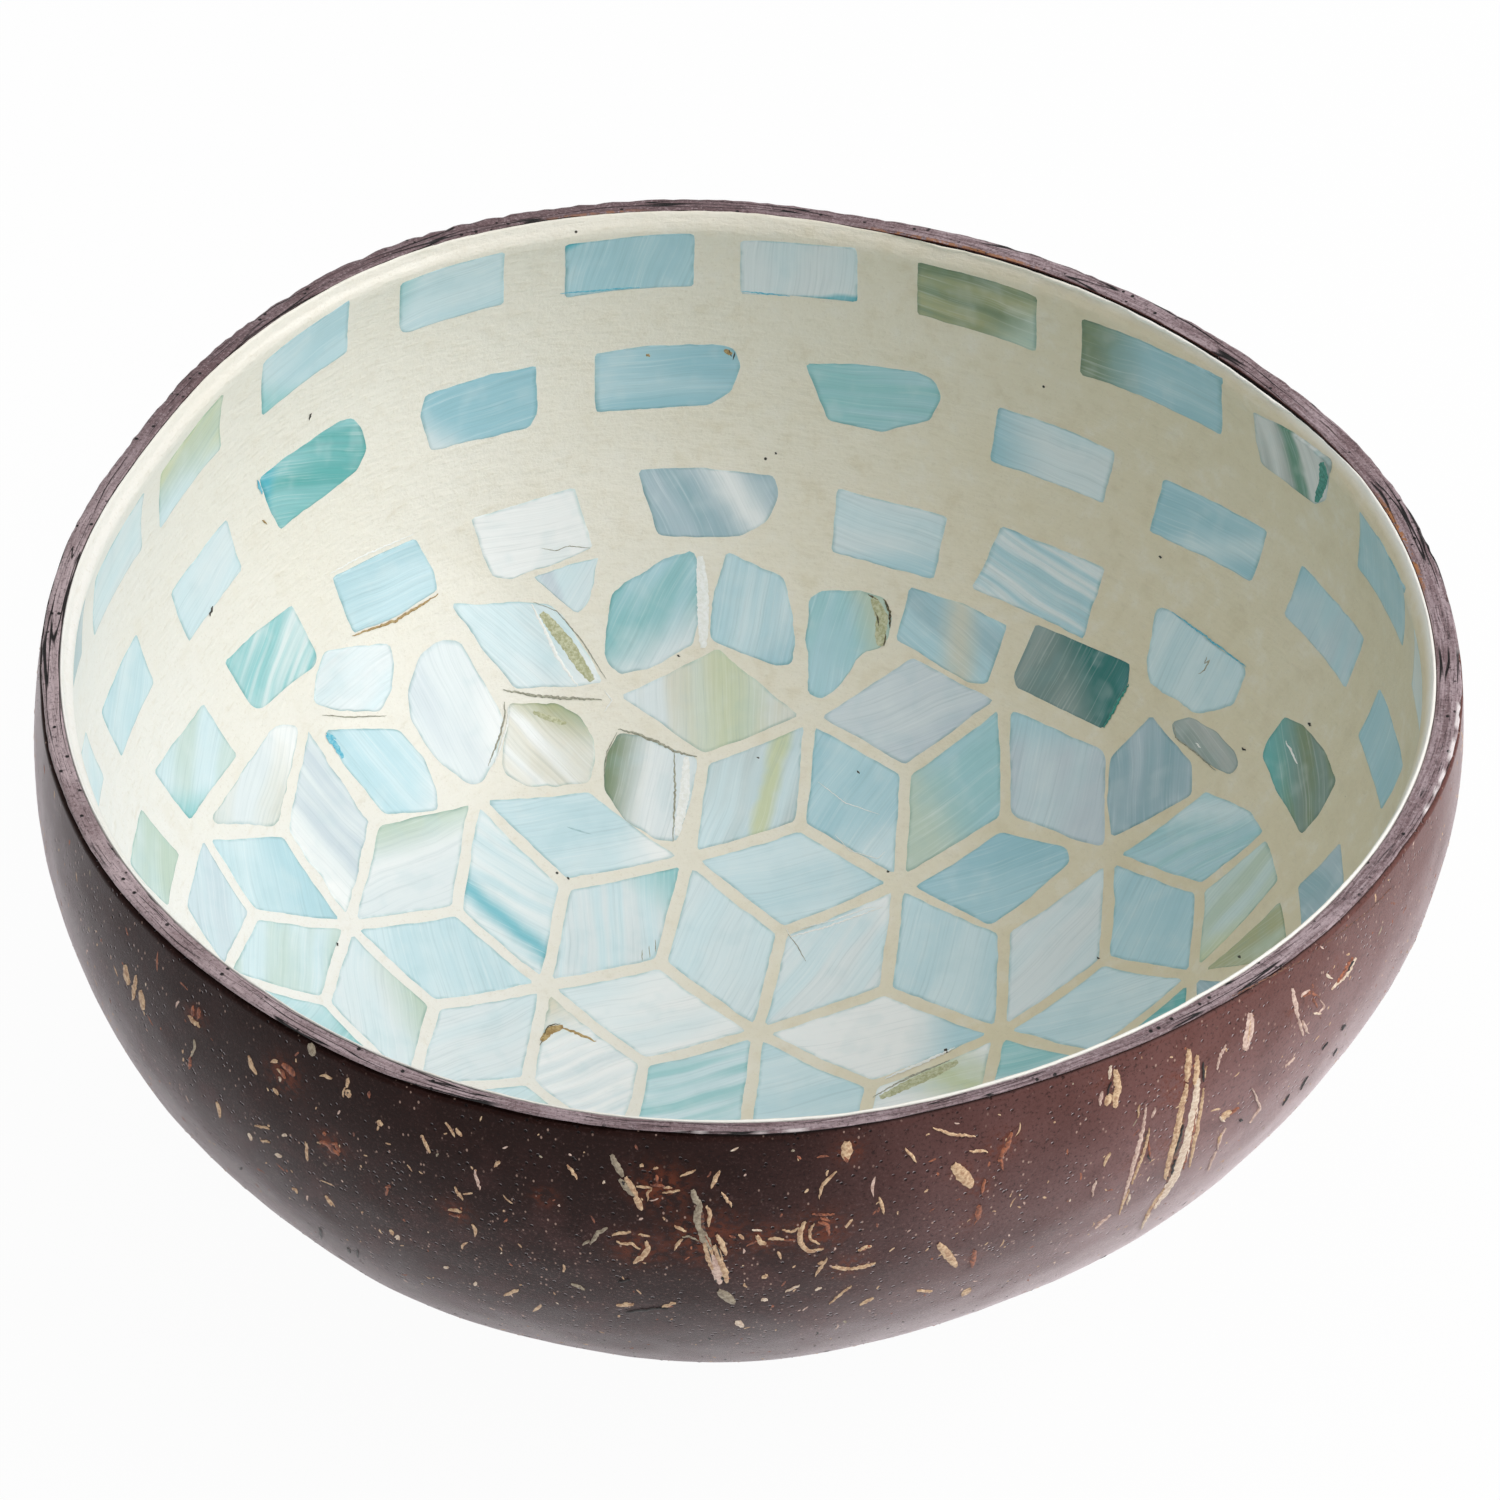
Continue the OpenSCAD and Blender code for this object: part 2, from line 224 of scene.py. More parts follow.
def lathe(rings, low, high):
    """Points and faces of rings of equal length, in order, with a middle point at either end."""
    count, n = len(rings), len(rings[0])
    below = [(c, b, a) for c, a, b in fan(count * n, 0, n)]
    return (np.concatenate([*rings, [low], [high]]),
            tube(count, n) + below + fan(count * n + 1, (count - 1) * n, n))


class Part:
    """The points and faces of a piece that is put together bit by bit."""

    def __init__(self):
        self.points, self.faces = [], []

    def join(self, points, faces):
        start = sum(len(p) for p in self.points)
        self.points.append(points)
        self.faces += [tuple(i + start for i in face) for face in faces]

    def make(self, name, *materials):
        return make(name, np.concatenate(self.points), self.faces, *materials)


# ---------------------------------------------------------------- nodes
class Nodes:
    """A node tree being built. What a node takes is a value or another node's socket."""

    def __init__(self, tree):
        self.tree = tree
        tree.nodes.clear()

    def set(self, socket, value):
        if isinstance(value, bpy.types.NodeSocket):
            self.tree.links.new(value, socket)
        else:
            socket.default_value = value

    def add(self, kind, inputs=None, **props):
        node = self.tree.nodes.new("ShaderNode" + kind)
        for key, value in props.items():
            setattr(node, key, value)
        for key, value in (inputs or {}).items():
            self.set(node.inputs[key], value)
        return node

    def mixed(self, share, a, b, kind="MIX"):
        return self.add("Mix", {0: share, 6: a, 7: b}, data_type="RGBA", blend_type=kind).outputs[2]

    def maths(self, operation, a, b=0.0, c=0.0):
        return self.add("Math", {0: a, 1: b, 2: c}, operation=operation).outputs[0]

    def times(self, a, b):
        return self.maths("MULTIPLY", a, b)

    def plus(self, a, b):
        return self.maths("ADD", a, b)

    def ramp(self, value, low, high, to_low=0.0, to_high=1.0):
        """Goes smoothly from to_low to to_high while the value goes from low to high."""
        inputs = {"Value": value, "From Min": low, "From Max": high, "To Min": to_low, "To Max": to_high}
        return self.add("MapRange", inputs, interpolation_type="SMOOTHSTEP").outputs["Result"]

    def scaled(self, vector, scale):
        return self.add("VectorMath", {0: vector, 1: scale}, operation="MULTIPLY").outputs[0]

    def split(self, vector):
        return self.add("SeparateXYZ", {0: vector}).outputs

    def joined(self, x, y, z):
        return self.add("CombineXYZ", {0: x, 1: y, 2: z}).outputs[0]

    def attribute(self, name, output="Fac"):
        return self.add("Attribute", attribute_name=name).outputs[output]


class Material(Nodes):
    """A material being built: its shader, the places in millimetres, and its colour so far."""

    def __init__(self, name):
        self.material = bpy.data.materials.new(name)
        self.material.use_nodes = True
        super().__init__(self.material.node_tree)
        self.shader = self.add("BsdfPrincipled")
        self.add("OutputMaterial", {0: self.shader.outputs[0]})
        self.mm = self.scaled(self.add("TexCoord").outputs["Object"], (1 / MM,) * 3)
        self.colour = None

    def noisy(self, scale, detail=3.0, rough=0.55, at=None):
        at = self.mm if at is None else at
        return self.add("TexNoise", {"Vector": at, "Scale": scale, "Detail": detail, "Roughness": rough}).outputs["Fac"]

    def dots(self, scale, full, gone, at=None):
        """Round dots, one to a cell, fading between these distances from their middles."""
        at = self.mm if at is None else at
        cells = self.add("TexVoronoi", {"Vector": at, "Scale": scale, "Randomness": 1.0})
        return self.ramp(cells.outputs["Distance"], gone, full)

    def coat(self, share, *tint):
        """Lays a colour over the colour so far, by share."""
        self.colour = self.mixed(share, self.colour, srgb(*tint) if len(tint) == 3 else tint[0])

    def done(self, height, depth_mm, **values):
        bump = self.add("Bump", {"Height": height, "Distance": depth_mm * MM, "Strength": 1.0})
        for key, value in dict(values, Base_Color=self.colour, Normal=bump.outputs[0]).items():
            self.set(self.shader.inputs[key.replace("_", " ")], value)
        return self.material


def shell_material():
    m = Material("polished_shell")
    x, _, z = m.split(m.mm)
    big, cloud, grain = m.noisy(0.05, 3), m.noisy(0.25, 4), m.noisy(3.0, 5, 0.75)
    # Painted light: the skin is lighter towards the right, where the key lamp falls, with slow random changes of tone
    side_shading_and_tone = m.plus(m.ramp(x, -20.0, 60.0), m.maths("MULTIPLY_ADD", big, 0.8, -0.4))
    m.colour = m.mixed(m.ramp(side_shading_and_tone, 0.1, 1.0), srgb(42, 21, 18), srgb(132, 96, 94))
    m.coat(m.ramp(cloud, 0.45, 0.75, 0, 0.5), 86, 56, 54)
    # Painted sheen: the skin is lighter towards the bottom
    m.coat(m.ramp(z, 26.0, 8.0, 0, 0.55), 92, 64, 62)
    # Painted shade close under the rim: the skin is darker in front and redder at the right
    m.coat(m.times(m.ramp(z, 48.0, 62.0), m.ramp(x, 30.0, -5.0, 0, 0.75)), 36, 15, 10)
    m.coat(m.times(m.ramp(z, 46.0, 62.0), m.ramp(x, 0.0, 45.0, 0, 0.7)), 96, 54, 46)
    # Brown round the fibres, dark and pale grain, pores and dust
    m.coat(m.times(m.attribute("halo"), m.ramp(m.noisy(1.5, 4, 0.7), 0.42, 0.58, 0, 0.85)), 122, 60, 36)
    m.coat(m.ramp(grain, 0.52, 0.68, 0, 0.75), 24, 13, 13)
    m.coat(m.times(m.ramp(grain, 0.46, 0.32), m.ramp(z, 62.0, 40.0, 0.15, 0.6)), 136, 108, 104)
    pore = m.times(m.dots(1.2, 0.12, 0.24), m.ramp(m.noisy(0.3, 1), 0.44, 0.54))
    m.coat(m.times(pore, m.ramp(x, 0.0, 45.0, 0.9, 0.35)), 14, 7, 8)
    dust = m.times(m.dots(1.4, 0.09, 0.18, m.scaled(m.mm, (1.0, 1.0, 0.6))), m.ramp(m.noisy(0.16, 2), 0.42, 0.56))
    m.coat(m.times(dust, 0.8), 186, 156, 142)
    # Painted glints along the rim's outer edge
    m.coat(m.attribute("glint"), 238, 226, 226)
    # Painted shade: black on the shell's hidden inner face, which shows in the crack, and nearly black in the groove
    # under the rim's outer edge
    m.coat(m.attribute("painted_shade"), 12, 7, 7)
    return m.done(m.plus(m.times(grain, 0.4), m.times(pore, -1.0)), 0.07,
                  Roughness=m.ramp(cloud, 0.3, 0.7, 0.34, 0.44), IOR=1.18,
                  Sheen_Weight=1.0, Sheen_Roughness=0.3, Sheen_Tint=srgb(255, 242, 246))


def rim_material():
    m = Material("sanded_rim")
    along = m.attribute("grain", "Vector")
    long, fine = m.noisy(1.5, 5, 0.7, along), m.noisy(4.5, 3, 0.7, along)
    speck, patch = m.noisy(3.2, 4, 0.75), m.noisy(0.12, 3)
    x, y, _ = m.split(m.mm)
    m.colour = m.mixed(m.ramp(long, 0.4, 0.6), srgb(136, 113, 117), srgb(186, 165, 170))
    # Paler at the left front, darker at the back left
    m.coat(m.times(m.ramp(x, -10.0, -62.0, 0, 0.45), m.ramp(y, 30.0, 5.0)), 226, 206, 208)
    m.coat(m.times(m.ramp(y, 8.0, 40.0), m.ramp(x, 25.0, -15.0, 0, 0.6)), 104, 78, 80)
    m.coat(m.ramp(patch, 0.42, 0.65, 0, 0.45), 112, 84, 86)
    m.coat(m.ramp(fine, 0.55, 0.66, 0, 0.8), 44, 28, 31)
    m.coat(m.ramp(speck, 0.53, 0.64, 0, 0.6), 62, 44, 46)
    m.coat(m.ramp(speck, 0.46, 0.34, 0, 0.5), 206, 188, 192)
    line = m.maths("ABSOLUTE", m.maths("SUBTRACT", m.noisy(0.5, 1, 0.4, along), 0.5))
    crack = m.times(m.ramp(line, 0.022, 0.006), m.ramp(m.noisy(0.07, 1), 0.44, 0.5))
    m.coat(crack, 12, 6, 7)
    pit = m.times(m.dots(0.9, 0.12, 0.2), m.ramp(m.noisy(0.3, 1), 0.46, 0.54))
    m.coat(pit, 16, 8, 9)
    m.coat(m.times(m.attribute("halo"), m.ramp(m.noisy(1.6, 2), 0.42, 0.54)), 176, 118, 74)
    # Painted glints along the rim's outer edge
    m.coat(m.attribute("glint"), 240, 230, 230)
    height = m.plus(m.plus(speck, m.times(fine, 0.6)), m.plus(m.times(pit, -1.0), m.times(crack, -1.5)))
    return m.done(height, 0.16, Roughness=0.4, IOR=1.45)


def putty_material():
    m = Material("cream_putty_lacquered")
    x, y, _ = m.split(m.mm)
    soft, cloud, fine = m.noisy(0.08, 3), m.noisy(0.35, 4, 0.6), m.noisy(3.0, 3, 0.7)
    brush = m.noisy(0.8, 4, 0.6, m.scaled(m.mm, (0.5, 0.5, 2.0)))
    # Painted light and shade: whiter at the left, which the key lamp lights, and khaki at the right, which lies in
    # shade, with soft random changes of tone
    side_shading_and_tone = m.plus(m.ramp(x, -45.0, 40.0), m.maths("MULTIPLY_ADD", soft, 0.5, -0.25))
    m.colour = m.mixed(side_shading_and_tone, srgb(241, 239, 234), srgb(226, 214, 184))
    # Painted light: paler towards the back and the left
    m.coat(m.times(m.ramp(y, -5.0, 45.0, 0, 0.6), m.ramp(x, 45.0, 5.0, 0.3, 1.0)), 240, 234, 218)
    m.coat(m.times(m.ramp(cloud, 0.5, 0.75), m.ramp(side_shading_and_tone, 0.0, 1.0, 0.12, 0.42)), 214, 200, 168)
    m.coat(m.ramp(cloud, 0.5, 0.25, 0, 0.4), 240, 236, 226)
    m.coat(m.ramp(brush, 0.55, 0.8, 0, 0.3), 206, 194, 168)
    m.coat(m.ramp(fine, 0.56, 0.7, 0, 0.22), 196, 184, 158)
    # Painted highlight along the lip
    m.coat(m.attribute("pale"), 250, 248, 240)
    m.coat(m.dots(0.15, 0.018, 0.03), 50, 44, 36)
    return m.done(m.plus(m.plus(brush, cloud), m.times(fine, 0.3)), 0.16,
                  Roughness=0.55, Coat_Weight=0.35, Coat_Roughness=0.14, Specular_IOR_Level=0.3)


def pearl_material():
    """Mother-of-pearl: colours, streak direction and edge come from each chip's own values."""
    m = Material("mother_of_pearl")
    along = m.attribute("grain", "Vector")
    contrast, width, ripple = m.split(m.attribute("look", "Vector"))
    across, length, depth = m.split(along)
    across = m.plus(across, m.maths("MULTIPLY_ADD", m.noisy(0.1, 1, at=along), 1.6, -0.8))
    wide = m.joined(m.maths("DIVIDE", across, width), m.times(length, 0.05), depth)
    thin = m.joined(m.times(across, 4.0), m.times(length, 0.08), depth)
    bands = m.ramp(m.noisy(1.0, 1, 0.5, wide), 0.34, 0.66)
    lines, mottle = m.noisy(1.0, 3, 0.6, thin), m.noisy(0.3, 2, 0.5, along)
    m.colour = m.mixed(m.times(bands, contrast), m.attribute("tint_a", "Color"), m.attribute("tint_b", "Color"))
    # The third colour lies over a part of the chip, between two lines across it
    start, stop, blur = m.split(m.attribute("span", "Vector"))
    side = m.plus(m.attribute("side"), m.maths("MULTIPLY_ADD", mottle, 0.24, -0.12))
    reached = m.ramp(m.maths("DIVIDE", m.maths("SUBTRACT", side, start), blur), -1.0, 1.0)
    left = m.ramp(m.maths("DIVIDE", m.maths("SUBTRACT", stop, side), blur), -1.0, 1.0)
    m.coat(m.times(reached, left), m.attribute("tint_c", "Color"))
    m.coat(m.ramp(mottle, 0.5, 0.75, 0, 0.2), 232, 240, 240)
    m.coat(m.ramp(mottle, 0.48, 0.3, 0, 0.1), 142, 192, 200)
    m.coat(m.ramp(lines, 0.5, 0.8, 0, 0.3), 246, 250, 250)
    m.coat(m.ramp(lines, 0.5, 0.25, 0, 0.16), 120, 150, 155)
    edge = m.times(m.ramp(m.attribute("edge"), 0.9, 1.0, 0, 0.6), m.ramp(m.noisy(0.5, 2), 0.4, 0.6, 0.3, 1.0))
    m.coat(edge, m.mixed(1.0, m.colour, srgb(150, 190, 190), "MULTIPLY"))
    height = m.plus(m.times(m.noisy(0.45, 2, at=thin), ripple), m.times(lines, 0.12))
    return m.done(height, 0.25, Roughness=m.ramp(lines, 0.3, 0.7, 0.36, 0.5),
                  Coat_Weight=0.4, Coat_Roughness=0.1, Specular_IOR_Level=0.35)


def fibre_material(name, dark, light):
    m = Material(name)
    grain = m.noisy(2.5, 4, 0.7)
    m.colour = m.mixed(m.ramp(grain, 0.35, 0.65), srgb(*dark), srgb(*light))
    return m.done(grain, 0.08, Roughness=0.55, Coat_Weight=0.2, Coat_Roughness=0.25)


# ---------------------------------------------------------------- shell
# The points of every ring round the bowl
ROUND = 480
AZ = np.arange(ROUND) * 360 / ROUND
OUT = np.stack([cosd(AZ), sind(AZ), 0 * AZ], -1)
UP = np.array([0, 0, 1.0])
# The radii of the rings on the flat that the bowl stands on, and the outside's rings as shares of the way from the
# flat to the rim
BASE_RINGS = (6.0, 12.0, 16.0, 17.4)
SIDE_SHARES = (*np.linspace(0, 0.9, 92)[1:], *np.linspace(0.9, 0.992, 16)[1:])
# The rings where shell and lining touch, from the bottom up and from the rim down
TOUCH_UP, TOUCH_DOWN = (*np.linspace(0, 0.93, 13)[1:], 0.975), (0.975, *np.linspace(0.93, 0, 13)[:-1])
FRONT_IN = 0.9
# The rim's rings, as shares of the way from its outer edge to its inner one, and how far each lies down
RIM_SHARES = (0.02, 0.06, 0.13, 0.21, 0.3, 0.38, 0.46, 0.54, 0.62, 0.7, 0.78, 0.86, 0.93, 0.97)
RIM_DROPS = (0.2, 0.07, 0.02, 0, 0, 0, 0, 0, 0, 0, 0, 0, 0.02, 0.08)
RIM_GRAIN_R = 7


def near(az, low, high, soft=6.0):
    """One inside a stretch of the rim, fading to zero over its ends."""
    mid, half = (low + high) / 2, (high - low) / 2
    return np.clip((half + soft - abs(apart(az, mid))) / soft, 0, 1)


def right_front(p):
    """How far in the outside lies at the right front, which the photograph shows flatter than the plain form."""
    there = near(np.degrees(np.arctan2(p[:, 1], p[:, 0])), -62, -36, 26)
    return FRONT_IN * (0.5 - 0.5 * np.cos(math.pi * there)) * np.clip(p[:, 2] / 30, 0, 1)


def dented(p, lift=0.0):
    """Points of the plain outside, moved to the real one with its slow dents."""
    dent = np.minimum(0.22 * lumps(p, 22, 3) - 0.1, 0) + 0.04 * lumps(p, 4.0, 9) * np.clip(p[:, 2] / 8, 0, 1)
    fade = np.clip(p[:, 2] / 6, 0, 1)
    return p + outward(p, *OUTSIDE) * (dent * fade - right_front(p) + lift)[:, None]


def hollow_rings(shares):
    """Rings where shell and lining touch, at shares of the angle from the middle up to the rim."""
    return [on_round(AZ, rim_angle(AZ, HOLLOW_H) * s, *HOLLOW) for s in shares]


def inner_edge():
    """The rim's inner edge, where shell and lining meet: the wall is thinner in front, and a little at the left."""
    thin = 0.12 * near(AZ, 165, 215, 25) - 0.25 * near(AZ, -62, -30, 20) + 0.85 * near(AZ, 255, 285, 25)
    return hollow_rings([1])[0] + OUT * thin[:, None]


def build_shell():
    rim = rim_angle(AZ, ROUND_H)
    edge = on_round(AZ, BASE_TILT + 0 * AZ, *OUTSIDE)
    rings = [edge * [r / BASE_R, r / BASE_R, 0] for r in BASE_RINGS]
    rings.append(edge * [0.985, 0.985, 0] + [0, 0, 0.03])
    for s in SIDE_SHARES:
        rings.append(dented(on_round(AZ, BASE_TILT + (rim - BASE_TILT) * s, *OUTSIDE)))
    top, inner = dented(on_round(AZ, rim, *OUTSIDE)), inner_edge()
    # A dark undercut follows the rim's outer edge at the left, and the right edge is rough
    groove = near(AZ, 196, 264) * np.clip(1 + 0.8 * lumps(top, 2.5, 77), 0.3, 2) * 0.75 + 0.1
    rough_edge = 0.25 + near(AZ, -50, 8, 10) + 0.3 * near(AZ, 105, 150, 10) + 0.5 * near(AZ, 262, 300, 10)
    for depth, share, drop in ((0.02, 0, 0.62), (0.08, 1, 0.46), (0.02, 0.85, 0.32)):
        rings.append(top - OUT * (depth + groove * share)[:, None] - UP * drop)
    rim_first, rim_grain = len(rings), []
    for s, drop in zip(RIM_SHARES, RIM_DROPS):
        ring = top + (inner - top) * s
        grain = np.stack([np.full(ROUND, s * WALL * 2.0), cosd(AZ) * RIM_GRAIN_R, sind(AZ) * RIM_GRAIN_R], 1)
        rim_grain.append(grain)
        edge_share = max(0.0, 1 - s / 0.3)
        rough = (0.05 * lumps(ring, 2.2, 20) + 0.03 * lumps(grain, 0.9, 31)
                 + (0.02 + edge_share * 0.3 * rough_edge) * lumps(ring, 1.1, 40))
        nick = np.clip(rough, -0.04, 0.34)
        rings.append(ring - UP * (drop + nick)[:, None] - OUT * (edge_share * nick * 0.8)[:, None])
    rings += [inner - UP * 0.25, *hollow_rings(TOUCH_DOWN)]
    points, faces = lathe(rings, (0, 0, 0), on_round(0.0, 0.0, *HOLLOW))
    shell = make("shell_body", points, faces, shell_material(), rim_material())
    first, last = rim_first * ROUND, (rim_first + len(RIM_SHARES)) * ROUND
    for f in shell.data.polygons[first:last - ROUND]:
        f.material_index = 1
    halo, painted_shade, glint = np.zeros((3, len(points)))
    for place, r in zip(seen_on([h[:2] for h in HALOS], *OUTSIDE), HALOS):
        halo = np.maximum(halo, np.exp(-(np.linalg.norm(points - place, axis=1) / (r[2] * PX_MM)) ** 2))
    # Painted shade on the inner face behind the lining and in the groove under the rim's outer edge
    painted_shade[last:] = 1
    painted_shade[first - 2 * ROUND:first] = 0.9
    # Tan bast shows along the inner edge in three places
    tan = np.maximum.reduce([near(AZ, 8, 17, 3), near(AZ, 64, 76, 3) * 0.8, near(AZ, 100, 106, 2) * 0.5])
    halo[first:last] = np.concatenate([tan * (s > 0.8) for s in RIM_SHARES])
    # Painted white glints along the rough outer edge, at the right and in front
    painted_glint = (near(AZ, 337, 356, 3) + near(AZ, 267, 274, 2)) * np.clip(6 * lumps(top, 1.4, 88) + 0.2, 0, 1)
    glint[first - ROUND:first + 3 * ROUND] = np.tile(painted_glint, 4)
    grain = points * [0.3, 0.3, 1.0]
    grain[first:last] = np.concatenate(rim_grain)
    store(shell.data, {"halo": halo, "painted_shade": painted_shade, "glint": glint, "grain": grain})
    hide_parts("coconut_shell")


# Brown stains on the outside: their places in the photograph and how far they reach, in its pixels
HALOS = [
    (282, 1077, 18), (329, 1147, 15), (194, 1017, 11), (455, 1213, 13), (544, 1197, 10), (660, 1190, 24),
    (705, 1240, 34), (640, 1250, 22), (817, 1235, 26), (765, 1240, 18), (850, 1268, 16), (1005, 1150, 16),
    (983, 1190, 14), (978, 1225, 13), (973, 1266, 12), (1190, 1090, 26), (1180, 1150, 24), (1140, 1170, 14),
    (1318, 1003, 14), (1300, 1020, 14), (1110, 1090, 12), (1345, 972, 14), (850, 1153, 12), (963, 1176, 10),
]
